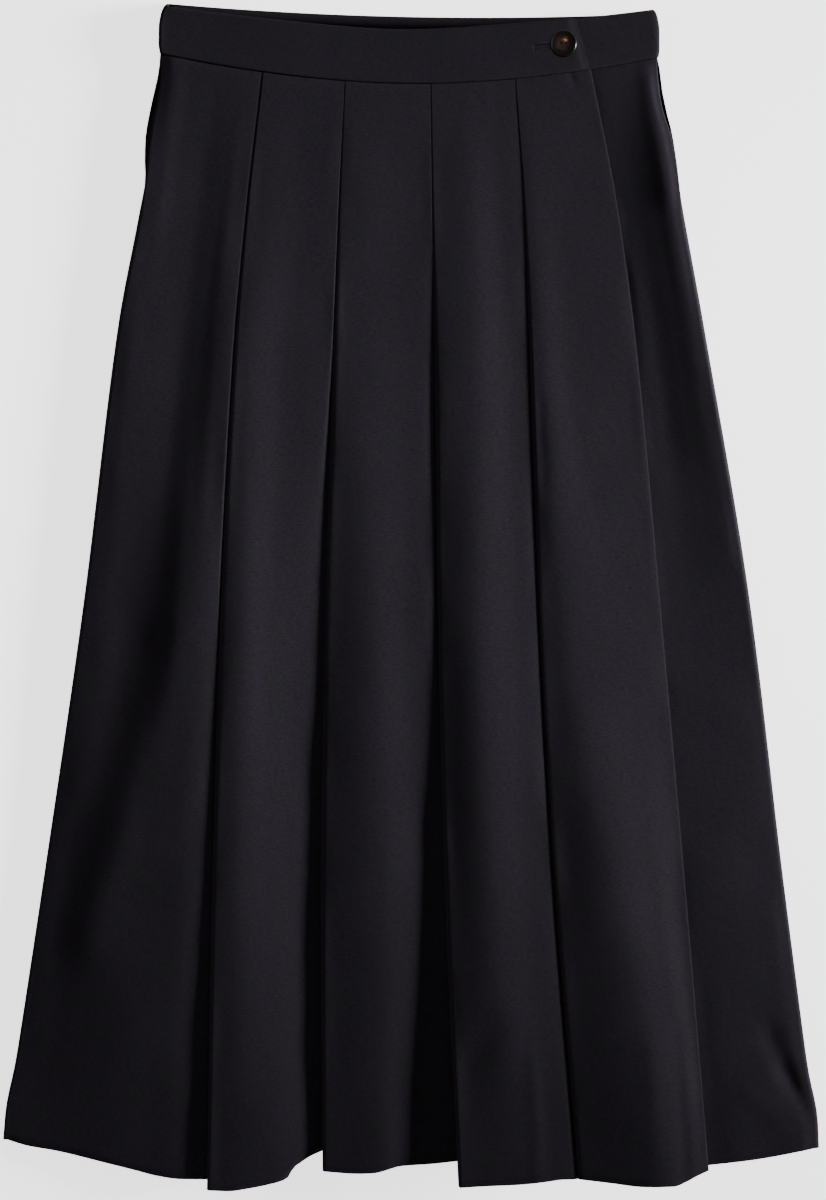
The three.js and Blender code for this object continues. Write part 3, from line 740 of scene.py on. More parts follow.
@dataclass(frozen=True)
class ClothFinish:
    """A woven cloth: matt, with a low sheen, fine threads and slight unevenness of shade, and, where asked,
    painted shade read from a mesh attribute.
    """

    name: str
    dark: Colour
    light: Colour
    cool: Colour = (1.0, 0.93, 1.0)
    plain: Colour = (0.93, 1.0, 0.9)
    threads: float = 1800.0
    thread_height: float = 0.00006
    bump: float = 0.5
    roughness: float = 0.88
    sheen: float = 0.015
    sheen_roughness: float = 0.45
    sheen_tint: Colour = (0.82, 0.78, 0.9)
    # When set, the base colour is darkened by the band's painted shade attribute.
    reads_band_painted_shade: bool = False

    def material(self, weave: Tree) -> bpy.types.Material:
        """The finish on the cloth's own coordinates.

        Args:
            weave: The weave's node group.

        Returns:
            The material.
        """
        material, shader = principled(self.name)
        tree = material.node_tree
        cloth = tree.nodes.new("ShaderNodeUVMap")
        cloth.uv_map = "cloth"
        threads = tree.nodes.new("ShaderNodeGroup")
        threads.node_tree = weave
        threads.inputs["Threads per metre"].default_value = self.threads
        tree.links.new(cloth.outputs["UV"], threads.inputs["Cloth"])
        shade = ramp_node(tree, threads.outputs["Shade"], (0.4, self.dark), (0.95, self.light))
        tone = ramp_node(tree, threads.outputs["Tone"], (0.36, self.cool), (0.64, self.plain))
        colour = vector_node(tree, "MULTIPLY", shade, tone).outputs["Vector"]
        # Painted shade: the attribute darkens the base colour where the band's inner face lies in shade.
        if self.reads_band_painted_shade:
            band_painted_shade = tree.nodes.new("ShaderNodeAttribute")
            band_painted_shade.attribute_name = "band_painted_shade"
            colour = scaled(tree, colour, band_painted_shade.outputs["Fac"])
        tree.links.new(colour, shader.inputs["Base Color"])
        bump = tree.nodes.new("ShaderNodeBump")
        bump.inputs["Strength"].default_value = self.bump
        bump.inputs["Distance"].default_value = self.thread_height
        tree.links.new(threads.outputs["Height"], bump.inputs["Height"])
        tree.links.new(bump.outputs["Normal"], shader.inputs["Normal"])
        shader.inputs["Roughness"].default_value = self.roughness
        shader.inputs["Specular IOR Level"].default_value = 0.0
        shader.inputs["Sheen Weight"].default_value = self.sheen
        shader.inputs["Sheen Roughness"].default_value = self.sheen_roughness
        shader.inputs["Sheen Tint"].default_value = (*self.sheen_tint, 1)
        return material


@dataclass(frozen=True)
class HornFinish:
    """Polished dark horn, brown in its dish, with a painted warm highlight beside the holes and painted
    shade in the holes.
    """

    name: str = "button_horn"
    black: Colour = (0, 0, 0)
    white: Colour = (1, 1, 1)
    dark: Colour = (0.003, 0.0025, 0.0022)
    warm: Colour = (0.022, 0.011, 0.008)
    # Painted highlight: pale and amber paint a lamp's warm reflection on the dish.
    pale: Colour = (0.62, 0.3, 0.15)
    amber: Colour = (0.085, 0.032, 0.014)
    painted_highlight_at: tuple[float, float] = (1.2, 2.6)
    painted_highlight_reach: float = 4.0
    brown_reach: float = 7.2
    # Painted shade in the holes: each hole's colour darkens to black within hole_shade_reach of hole_at.
    hole_at: float = 1.7
    hole_shade_reach: float = 1.3
    cloud: float = 560.0
    stray: float = 0.9
    roughness: float = 0.24
    specular: float = 0.35

    def reach_mask(self, tree: Tree, place: np.ndarray, reach: float, stray: float) -> Socket:
        """A mask round a place on the button.

        Args:
            tree: The material's node tree.
            place: The place in millimetres.
            reach: How far from it the mask falls to 0.
            stray: How far the mask's edge strays.

        Returns:
            1 at the place and 0 at the reach.
        """
        at = tree.nodes.new("ShaderNodeTexCoord").outputs["Object"]
        away = vector_node(tree, "SUBTRACT", at, tuple(place * MM))
        flat = vector_node(tree, "MULTIPLY", away.outputs["Vector"], (1, 1, 0))
        length = vector_node(tree, "LENGTH", flat.outputs["Vector"]).outputs["Value"]
        near = math_node(tree, "MULTIPLY_ADD", length, -1 / (reach * MM), 1.0)
        wander = noise_node(tree, at, self.cloud, 3.0)
        return math_node(tree, "ADD", near, math_node(tree, "MULTIPLY_ADD", wander, stray, -stray / 2))

    def material(self, middle: np.ndarray) -> bpy.types.Material:
        """The finish on the button's own place, with a painted highlight and painted shade in the holes.

        Args:
            middle: The button's middle in millimetres.

        Returns:
            The material.
        """
        material, shader = principled(self.name)
        tree = material.node_tree
        dish = self.reach_mask(tree, middle, self.brown_reach, self.stray)
        # Painted highlight: a pale spot off the middle, where a lamp's reflection would lie.
        painted_highlight_mask = self.reach_mask(tree, middle + [*self.painted_highlight_at, 0], self.painted_highlight_reach, self.stray)
        brown = ramp_node(tree, dish, (0.05, self.dark), (0.6, self.warm))
        pale = ramp_node(tree, painted_highlight_mask, (0.3, self.black), (0.75, self.amber), (1.05, self.pale))
        both = vector_node(tree, "ADD", brown, pale).outputs["Vector"]
        # Painted shade: the holes are darkened to black, standing in for the shade in the wells.
        holes = [
            self.reach_mask(tree, middle + [side.value * self.hole_at, 0, 0], self.hole_shade_reach, 0)
            for side in Side
        ]
        face = math_node(tree, "SUBTRACT", 1.0, math_node(tree, "MAXIMUM", *holes))
        shown = ramp_node(tree, face, (0.45, self.black), (0.95, self.white))
        tree.links.new(scaled(tree, both, shown), shader.inputs["Base Color"])
        shader.inputs["Roughness"].default_value = self.roughness
        shader.inputs["Specular IOR Level"].default_value = self.specular
        return material


@dataclass(frozen=True)
class PaleFloor:
    """The plain pale surface that the skirt lies on."""

    side: float = 6.0
    level: float = -0.2
    shade: float = 0.9
    roughness: float = 0.9
    glow: float = 2.2

    def build(self) -> None:
        """Lays the floor just under the cloth."""
        material, shader = principled("pale_floor")
        shader.inputs["Base Color"].default_value = (self.shade, self.shade, self.shade, 1)
        shader.inputs["Roughness"].default_value = self.roughness
        seen = material.node_tree.nodes.new("ShaderNodeLightPath").outputs["Is Camera Ray"]
        shader.inputs["Emission Color"].default_value = (1, 1, 1, 1)
        glow = math_node(material.node_tree, "MULTIPLY", seen, self.glow)
        material.node_tree.links.new(glow, shader.inputs["Emission Strength"])
        half = self.side / 2 / MM
        ways = ((-1, -1), (1, -1), (1, 1), (-1, 1))
        corners = np.array([[x * half, y * half, self.level] for x, y in ways])
        floor = add_mesh("floor", corners, [(0, 1, 2, 3)])
        floor.data.materials.append(material)


# ---------------------------------------------------------------- panels


def side_turn(share: float) -> float:
    """How far a front's side is turned over: little at a pocket mouth, full below it."""
    return float(ease(CUT.pocket_end, CUT.pocket_end + CUT.turn_reach, share))


def side_line(side: Side, share: float) -> float:
    """X of a side's outermost edge, swelled at the pocket and at the hem's corner.

    Args:
        side: Which side.
        share: The share of the drop.

    Returns:
        X in millimetres.
    """
    line, swell, flare = (
        (LINES.left_side, CUT.left_swell, CUT.corner_flare[0])
        if side is Side.LEFT
        else (LINES.right_side, CUT.right_swell, CUT.corner_flare[1])
    )
    out = float(smooth_through(CUT.mouth_places, swell, share))
    out += flare * math.exp(-(((share - CUT.flare_at) / CUT.flare_reach) ** 2))
    return down(line, share) + side.value * out


def set_in(side: Side, share: float) -> float:
    """How far the front's edge stands back in a pocket mouth."""
    places = CUT.left_set_in if side is Side.LEFT else CUT.right_set_in
    return float(smooth_through(CUT.mouth_places, places, share))


def front_side(x: float, top: float, share: float, side: Side) -> np.ndarray:
    """The turned side of a front panel, from its seam up to the panel.

    Args:
        x: X of the side's outermost edge.
        top: The panel's height there.
        share: The share of the drop.
        side: Which side.

    Returns:
        The section's (x, z) points.
    """
    low = CUT.seam_height + CUT.seam_gap / 2 + CUT.seam_stand
    roll = float(mix(CUT.mouth_roll, CUT.side_roll, side_turn(share)))
    middle = x - side.value * (CUT.cloth / 2 + roll + set_in(side, share))
    first = float(mix(CUT.mouth_turn, 180, side_turn(share)))
    turn = arc(0, low, roll, top - low, first, 90, CUT.side_steps)
    turn = np.vstack([[turn[0][0], turn[0][1] - CUT.seam_stand], turn])
    return np.column_stack([middle + side.value * np.abs(turn[:, 0]), turn[:, 1]])


def section(points: np.ndarray, hem: np.ndarray | float, face: np.ndarray | float) -> Section:
    """A stretch of a section.

    Args:
        points: Its (x, z) points.
        hem: The hem's Y at each.
        face: How much the folds act on each.

    Returns:
        The stretch.
    """
    count = len(points)
    return {
        "x": points[:, 0],
        "z": points[:, 1],
        "hem": np.broadcast_to(np.asarray(hem, float), count).copy(),
        "face": np.broadcast_to(np.asarray(face, float), count).copy(),
    }


def joined(parts: list[Section]) -> Section:
    """Stretches of a section end to end."""
    return {key: np.concatenate([part[key] for part in parts]) for key in parts[0]}


def face_share(t: np.ndarray) -> np.ndarray:
    """How much a fold acts at a share of a face's width."""
    return ease(0, 0.12, t) * (1 - ease(0.88, 1, t))


def crowded(steps: int) -> np.ndarray:
    """Shares after 0 up to 1, closer together near both ends."""
    t = np.linspace(0, 1, steps + 1)[1:]
    return 0.4 * t + 0.6 * (1 - np.cos(math.pi * t)) / 2


def between(steps: int) -> np.ndarray:
    """Shares between 0 and 1, without the ends."""
    return np.linspace(0, 1, steps + 1)[1:-1]


def node_box(node: str) -> tuple[np.ndarray, np.ndarray]:
    """A solid's low and high corners in millimetres."""
    low, high = (np.array(corner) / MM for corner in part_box(node))
    return low, high


def placed(grid: np.ndarray, node: str, across: float, along: float, sunk: float) -> np.ndarray:
    """A sheet moved in plan to its solid's place.

    Args:
        grid: The sheet's points in millimetres.
        node: Its solid.
        across: Where the two meet in X: 0 at the left side, 1 at the right.
        along: Where the two meet in Y: 0 at the hem, 1 at the waist.
        sunk: How far the sheet then stands from there towards the hem.

    Returns:
        The moved points.
    """
    low, high = node_box(node)
    flat = grid.reshape(-1, 3)
    first, last = flat.min(axis=0), flat.max(axis=0)
    moved = grid.copy()
    for axis, share in ((0, across), (1, along)):
        moved[..., axis] += mix(low[axis], high[axis], share) - mix(first[axis], last[axis], share)
    moved[..., 1] -= sunk
    return moved


def dressed(made: bpy.types.Object, node: str) -> bpy.types.Object:
    """Args:
        made: The sheet's object.
        node: The solid that it stands for.

    Returns:
        The same object.
    """
    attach(made, BODY)
    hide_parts(node)
    return made


@dataclass
class Panel:
    """A cloth panel: a section down the drop, made into a thin shell that replaces its solid."""

    name: str = ""
    node: str = ""
    slot: str = "skirt_cloth"
    rows: int = 160
    held_at: float = 0.5
    held_along: float = 1.0
    sunk: float = 0.0
    top_gap: float = CUT.seam_gap / 2
    seam: Bow = CUT.front_seam
    folds: tuple[Fold, ...] = ()
    waviness: Unevenness | None = None
    calm: float = 0.06

    def section_at(self, share: float) -> Section:
        """The panel's section at a share of the drop."""
        raise NotImplementedError

    def grid(self) -> np.ndarray:
        """The panel's sheet.

        Returns:
            Its middle points, rows from the waist seam to the hem.
        """
        waist = self.section_at(0)
        seam_y = self.seam.y(waist["x"]) - self.top_gap
        lines = []
        for share in np.linspace(0, 1, self.rows + 1):
            cut = self.section_at(float(share))
            y = mix(seam_y, cut["hem"], share)
            z = cut["z"].copy()
            for fold in self.folds:
                z += fold.lift(cut["x"], y) * cut["face"]
            if self.waviness:
                z += self.waviness.lift(cut["x"], y) * cut["face"] * ease(0, self.calm, share)
            lines.append(np.column_stack([cut["x"], y, z]))
        return np.array(lines)

    def thickness(self, columns: int) -> np.ndarray:
        """The cloth's thickness, thicker where the hem is turned up.

        Args:
            columns: The sheet's columns.

        Returns:
            The thickness at each point.
        """
        shares = np.linspace(0, 1, self.rows + 1)
        turned = 1 - CUT.hem_turned / CUT.drop
        down_it = CUT.cloth * (1 + CUT.hem_thicker * ease(turned, turned + CUT.hem_blend, shares))
        return np.repeat(down_it[:, None], columns, axis=1)

    def build(self) -> bpy.types.Object:
        """Makes the shell, and hides the solid that it stands for.

        Returns:
            The panel's object.
        """
        grid = placed(self.grid(), self.node, self.held_at, self.held_along, self.sunk)
        made = shell(self.name, grid, self.thickness(grid.shape[1]), cloth_uv(grid))
        return dressed(made, self.node)


@dataclass
class OverApron(Panel):
    """The front that wraps over: a plain side panel and four knife pleats."""

    name: str = "over_apron_cloth"
    node: str = "over_apron"
    rows: int = 128
    held_at: float = 0.0
    sunk: float = 2.65
    side_steps: int = 52
    face_steps: int = 32
    face_end: float = 1.3
    near_end: tuple[float, ...] = (0.8, 0.42, 0.28, 0.12, 0)
    end_pressed: tuple[float, ...] = (0.95, 0.8, 0.6, 0.4, 0.32)
    layer_steps: int = 5
    turn_steps: int = 6
    lip_steps: int = 4
    brow_steps: int = 8
    side_places: tuple[float, ...] = (0, 0.13, 0.3, 0.5, 0.7, 0.85, 0.985, 1)
    side_heights: tuple[Row, ...] = (
        drop_row(-0.4, 0.8, 0.0, -0.4, -2.3, -0.5),
        drop_row(0.8, 0.8, 0.5, 0.7, -0.2, 1.3),
        drop_row(0.7, 0.1, 0.5, 1.5, 2.6, 3.5),
        drop_row(0.8, -0.1, 0.3, 3.3, 5.1, 5.5),
        drop_row(0.9, 0.8, 1.5, 6.4, 6.7, 7.1),
        drop_row(0.9, 1.6, 3.1, 7.1, 7.4, 8.4),
        drop_row(0.85, 1.5, 3.7, 6.6, 7.0, 7.6),
    )
    folds: tuple[Fold, ...] = (
        Fold((-166, -28), (-229, -245), 15, 0.75),
        Fold((-190, -28), (-253, -245), 15, -0.65),
        Fold((57.9, -302), (40.8, -332), 9, -0.45),
        Fold((87, -330), (89.6, -420), 5, 0.4),
        Fold((53, 363), (54.5, 350), 2.2, 0.2),
        Fold((90.4, 142), (94.6, 79), 4, -0.3),
        Fold((113.5, 373), (116.5, 364), 2.2, -0.4),
        Fold((170, -315), (173, -420), 8, 0.35),
        Fold((187, -300), (193, -420), 4, -0.4),
    )
    waviness: Unevenness = field(default_factory=lambda: Unevenness(11, 45, 160, 0.15))

    def thickness(self, columns: int) -> np.ndarray:
        """The cloth's thickness, pressed thinner at the wrap edge.

        Args:
            columns: The sheet's columns.

        Returns:
            The thickness at each point.
        """
        thick = super().thickness(columns)
        thick[:, -len(self.end_pressed) :] *= np.array(self.end_pressed)
        return thick

    def side_panel(self, share: float) -> Section:
        """The plain panel from the left side seam to the first fold.

        Args:
            share: The share of the drop.

        Returns:
            The panel's stretch of the section.
        """
        left, right = side_line(Side.LEFT, share), down(LINES.fold_1, share)
        level = down(CUT.over_level, share)
        heights = [level + down(row, share) for row in (*self.side_heights, PLEATS[0].base)]
        turn = front_side(left, heights[0], share, Side.LEFT)
        t = crowded(self.side_steps)
        z = smooth_through(self.side_places, heights, t)
        hem = HEMS.side.y(t)
        across = section(np.column_stack([mix(turn[-1, 0], right, t), z]), hem, face_share(t))
        return joined([section(turn, HEMS.side.ys[0], 0), across])

    def tucked(self, start: float, base: float, share: float) -> np.ndarray:
        """A pleat's hidden layers: the underlay, its inner turn, the layer back and the rolled lip.

        Args:
            start: X of the pleat's fold.
            base: The underlay's height.
            share: The share of the drop.

        Returns:
            The section's (x, z) points.
        """
        radius, step = down(CUT.lip_radius, share), down(CUT.layer_step, share)
        inner_x = start + down(CUT.underlay, share) - step / 2 - CUT.cloth / 2
        lip_x = start + CUT.cloth / 2 + radius
        below = line_points((start, base), (inner_x, base), self.layer_steps)[1:]
        turn = arc(inner_x, base + step / 2, step / 2, step / 2, -90, 90, self.turn_steps)[1:]
        back = line_points((inner_x, base + step), (lip_x, base + step), self.layer_steps)[1:-1]
        lip = arc(lip_x, base + step + radius, radius, radius, 270, 180, self.lip_steps)
        return np.vstack([below, turn, back, lip])

    def pleat(self, k: int, share: float) -> Section:
        """A pleat's section: its tucked layers and its face to the next line.

        Args:
            k: The pleat's number from the left.
            share: The share of the drop.

        Returns:
            The pleat's stretch of the section.
        """
        pleat, level = PLEATS[k], down(CUT.over_level, share)
        start, end = (down(line, share) for line in LINES.folds()[k : k + 2])
        before, hem = HEMS.front()[k : k + 2]
        after = PLEATS[k + 1].base if k + 1 < len(PLEATS) else CUT.wrap_height
        base = level + down(pleat.base, share)
        tucked = self.tucked(start, base, share)
        t = np.arange(1, len(tucked) + 1) / len(tucked)
        outer_x = start + CUT.cloth / 2
        outer_z = base + down(CUT.layer_step, share) + down(CUT.lip_radius, share)
        places = [0, *(down(row, share) for row in (pleat.crown_at, pleat.brink_at, pleat.foot_at)), 1]
        heights = [down(row, share) for row in (pleat.lip, pleat.crown, pleat.brink, pleat.foot, after)]
        reach = down(pleat.reach, share)
        brow = outer_x + reach * (1 - np.cos(np.linspace(0, math.pi / 2, self.brow_steps + 1)[1:]))
        across = mix(outer_x + reach, end - self.face_end, crowded(self.face_steps))
        x = np.concatenate([brow, across, end - np.array(self.near_end)])
        t_face = (x - start) / (end - start)
        z = level + smooth_through(places, heights, t_face)
        short = 1 - np.clip((x - outer_x) / reach, 0, 1)
        z -= (level + heights[0] - outer_z) * (1 - np.sqrt(1 - short**2))
        return joined([
            section(tucked, mix(before.ys[-1], hem.ys[0], ease(0, 1, t)), 0),
            section(np.column_stack([x, z]), hem.y(t_face), face_share(t_face)),
        ])

    def section_at(self, share: float) -> Section:
        """The whole section, from the left side seam to the wrap edge."""
        return joined([self.side_panel(share), *(self.pleat(k, share) for k in range(len(PLEATS)))])


@dataclass
class UnderApron(Panel):
    """The plain front under the wrap, seen to the right of the wrap edge."""

    name: str = "under_apron_cloth"
    node: str = "under_apron"
    held_at: float = 1.0
    sunk: float = 1.1
    steps: int = 40
    settles: float = 0.1
    rises: float = 0.4
    shown_places: tuple[float, ...] = (0, 0.1, 0.3, 0.6, 0.87, 1)
    shown_heights: tuple[Row, ...] = (
        drop_row(0, 0, 0, 0, 0, 0),
        drop_row(0.2, 0.5, 0.4, 0.0, 0.1, 0.3),
        drop_row(0.4, 1.2, 0.8, 0.2, 0.5, 0.7),
        drop_row(0.6, 2.7, 2.6, 1.0, 0.8, 0.4),
        drop_row(0.5, 3.9, 4.2, 1.9, 0.8, 0.6),
        drop_row(0.2, 3.4, 4.4, 2.3, 0.3, 0.0),
    )
    folds: tuple[Fold, ...] = (
        Fold((169, 368), (182.5, 285), 7.6, 1.0),
        Fold((256, -312), (272, -348), 8, -1.0),
        Fold((266, -335), (284, -364), 7, -0.9),
        Fold((240, -352), (262, -372), 9, 0.4),
    )
    waviness: Unevenness = field(default_factory=lambda: Unevenness(12, 45, 160, 0.15))

    def section_at(self, share: float) -> Section:
        """The whole section, from the hidden edge to the right side seam.

        Args:
            share: The share of the drop.

        Returns:
            The section.
        """
        left, wrap = down(LINES.under_edge, share), down(LINES.wrap_edge, share)
        level = down(CUT.under_level, share)
        lying = float(mix(level, CUT.cloth * 1.5 + CUT.seam_gap, ease(0, self.settles, share)))
        heights = [level + down(row, share) for row in self.shown_heights]
        side = front_side(side_line(Side.RIGHT, share), heights[-1], share, Side.RIGHT)[::-1]
        t = np.linspace(0, 1, self.steps)
        hidden = np.column_stack([mix(left, wrap, t), mix(lying, level, ease(0, self.rises, t))])
        t_face = between(self.steps)
        z = smooth_through(self.shown_places, heights, t_face)
        shown = np.column_stack([mix(wrap, side[0, 0], t_face), z])
        return joined([
            section(hidden, mix(HEMS.under_hidden, HEMS.under.ys[0], t), 0),
            section(shown, HEMS.under.y(t_face), face_share(t_face)),
            section(side, HEMS.under.ys[-1], 0),
        ])


@dataclass
class BackPanel(Panel):
    """The plain back, flat on the surface, its sides turned up to the side seams."""

    name: str = "back_panel_cloth"
    node: str = "back_panel"
    rows: int = 90
    held_along: float = 0.0
    top_gap: float = -1.2
    seam: Bow = CUT.back_seam
    steps: int = 41
    turn_steps: int = 6
    tuck: float = 0.4
    tuck_reach: float = 0.012
    rim: float = 0.9
    rim_roll: float = 0.8

    def section_at(self, share: float) -> Section:
        """The whole section, from side seam to side seam.

        Args:
            share: The share of the drop.

        Returns:
            The section.
        """
        ends = [side_line(side, share) for side in Side]
        low = CUT.cloth / 2 + self.tuck * (1 - float(ease(0, self.tuck_reach, share)))
        top = CUT.seam_height - CUT.seam_gap / 2
        rise = float(mix(low + self.rim, top, side_turn(share))) - low
        turned = rise - CUT.seam_stand * side_turn(share)
        roll = float(mix(self.rim_roll, CUT.side_roll, side_turn(share)))
        middles = [ends[0] + low + roll, ends[1] - low - roll]
        left = arc(middles[0], low + turned, roll, turned, 180, 270, self.turn_steps)
        right = arc(middles[1], low + turned, roll, turned, 270, 360, self.turn_steps)
        flat = line_points((middles[0], low), (middles[1], low), self.steps)[1:-1]
        points = np.vstack([[left[0, 0], low + rise], left, flat, right, [right[-1, 0], low + rise]])
        reach = points[:, 0] / LINES.right_side["hem"]
        hem = HEMS.back_middle + HEMS.back_rise * reach**2 + HEMS.back_tilt * reach
        return section(points, hem, 0)


# ---------------------------------------------------------------- waistband


def rod(name: str, path: np.ndarray, wide: float, tall: float, sides: int = 12) -> bpy.types.Object:
    """A closed oval rod along a path, tapered to round ends: a welt, a bar or a thread.

    Args:
        name: The object's name.
        path: Its middle points in millimetres.
        wide: Half its width across.
        tall: Half its height.
        sides: Number of sides.

    Returns:
        The rod's object.
    """
    ahead = unit(np.gradient(path, axis=0))
    across = unit(np.cross(ahead, [0.0, 0.0, 1.0]) + [1e-9, 0, 0])
    up = np.cross(across, ahead)
    reach = np.concatenate([[0], np.cumsum(np.linalg.norm(np.diff(path, axis=0), axis=1))])
    left = np.minimum(reach, reach[-1] - reach) / min(wide, reach[-1] / 4)
    swell = np.sqrt(1 - (1 - np.clip(left, ROD_TIP, 1)) ** 2)[:, None, None]
    angles = np.linspace(0, 2 * math.pi, sides, endpoint=False)
    turned = angles[None, :, None]
    ring = across[:, None] * wide * np.cos(turned) + up[:, None] * tall * np.sin(turned)
    points = (path[:, None] + ring * swell).reshape(-1, 3)
    faces = []
    for j in range(len(path) - 1):
        for i in range(sides):
            a, b = j * sides + i, j * sides + (i + 1) % sides
            faces.append((a, b, b + sides, a + sides))
    faces.append(tuple(range(sides - 1, -1, -1)))
    faces.append(tuple(range((len(path) - 1) * sides, len(path) * sides)))
    uvs = np.column_stack([np.repeat(reach, sides), np.tile(angles * wide, len(path))]) * MM
    return add_mesh(name, points, faces, uvs)


def cut_out(made: bpy.types.Object, cutter: bpy.types.Object) -> None:
    """Cuts one closed mesh out of another and throws the cutter away.

    Args:
        made: The object that is cut.
        cutter: The closed mesh that cuts it.
    """
    change = made.modifiers.new("cut", "BOOLEAN")
    change.operation = "DIFFERENCE"
    change.object = cutter
    change.solver = "EXACT"
    bpy.context.view_layer.update()
    seen = made.evaluated_get(bpy.context.evaluated_depsgraph_get())
    done = bpy.data.meshes.new_from_object(seen)
    made.modifiers.clear()
    made.data = done
    bpy.data.objects.remove(cutter)


@dataclass(frozen=True)
class Buttonhole:
    """A bound buttonhole: a slit between two welts, barred at its open end, under the button."""

    start: tuple[float, float] = (87.6, 390.2)
    end: tuple[float, float] = (108.0, 392.7)
    slit: float = 0.14
    welt: float = 0.85
    welt_rise: float = 0.14
    window: float = 0.42
    top: float = 11.7
    cut_from: float = 9.2
    cut_to: float = 13.0
    end_window: tuple[float, float] = (0.1, 0.45)
    bar_wide: float = 0.3
    bar_tall: float = 0.1
    bar_reach: float = 1.5
    steps: int = 24
    bar_steps: int = 12

    def cutter(self) -> bpy.types.Object:
        """The slit and the window round its welts as closed boxes right through the over band.

        Returns:
            The boxes as one mesh.
        """
        start, end = np.array([*self.start, 0.0]), np.array([*self.end, 0.0])
        ahead = (end - start) / np.linalg.norm(end - start)
        side = np.array([-ahead[1], ahead[0], 0.0])
        edge = self.slit / 2 + 2 * self.welt
        rim = edge + self.window
        near, far = self.end_window
        cuts = [
            (start, end, -self.slit / 2, self.slit / 2),
            (start, end, -rim, -edge),
            (start, end, edge, rim),
            (start - ahead * far, start - ahead * near, -rim, rim),
        ]
        box = [(3, 2, 1, 0), (4, 5, 6, 7), (0, 1, 5, 4), (1, 2, 6, 5), (2, 3, 7, 6), (3, 0, 4, 7)]
        corners, faces = [], []
        for first, last, low, high in cuts:
            ring = [first + side * low, last + side * low, last + side * high, first + side * high]
            k = len(corners)
            corners += [[*p[:2], z] for z in (self.cut_from, self.cut_to) for p in ring]
            faces += [tuple(k + i for i in face) for face in box]
        return add_mesh("slit_cutter", np.array(corners), faces)

    def build(self) -> list[bpy.types.Object]:
        """Makes the welts and the bar.

        Returns:
            The three pieces.
        """
        made = []
        start, end = np.array([*self.start, self.top]), np.array([*self.end, self.top])
        for name, side in (("upper", 1), ("lower", -1)):
            shift = [0, side * (self.slit / 2 + self.welt), 0]
            path = line_points(start + shift, end + shift, self.steps)
            made.append(rod(f"buttonhole_{name}_welt", path, self.welt, self.welt_rise))
        bar_at, reach = start + [self.bar_wide, 0, 0], np.array([0, self.bar_reach, 0])
        bar = line_points(bar_at - reach, bar_at + reach, self.bar_steps)
        made.append(rod("buttonhole_bar", bar, self.bar_wide, self.bar_tall))
        for piece in made:
            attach(piece, BODY)
        LOG.info("buttonhole: %d pieces", len(made))
        return made


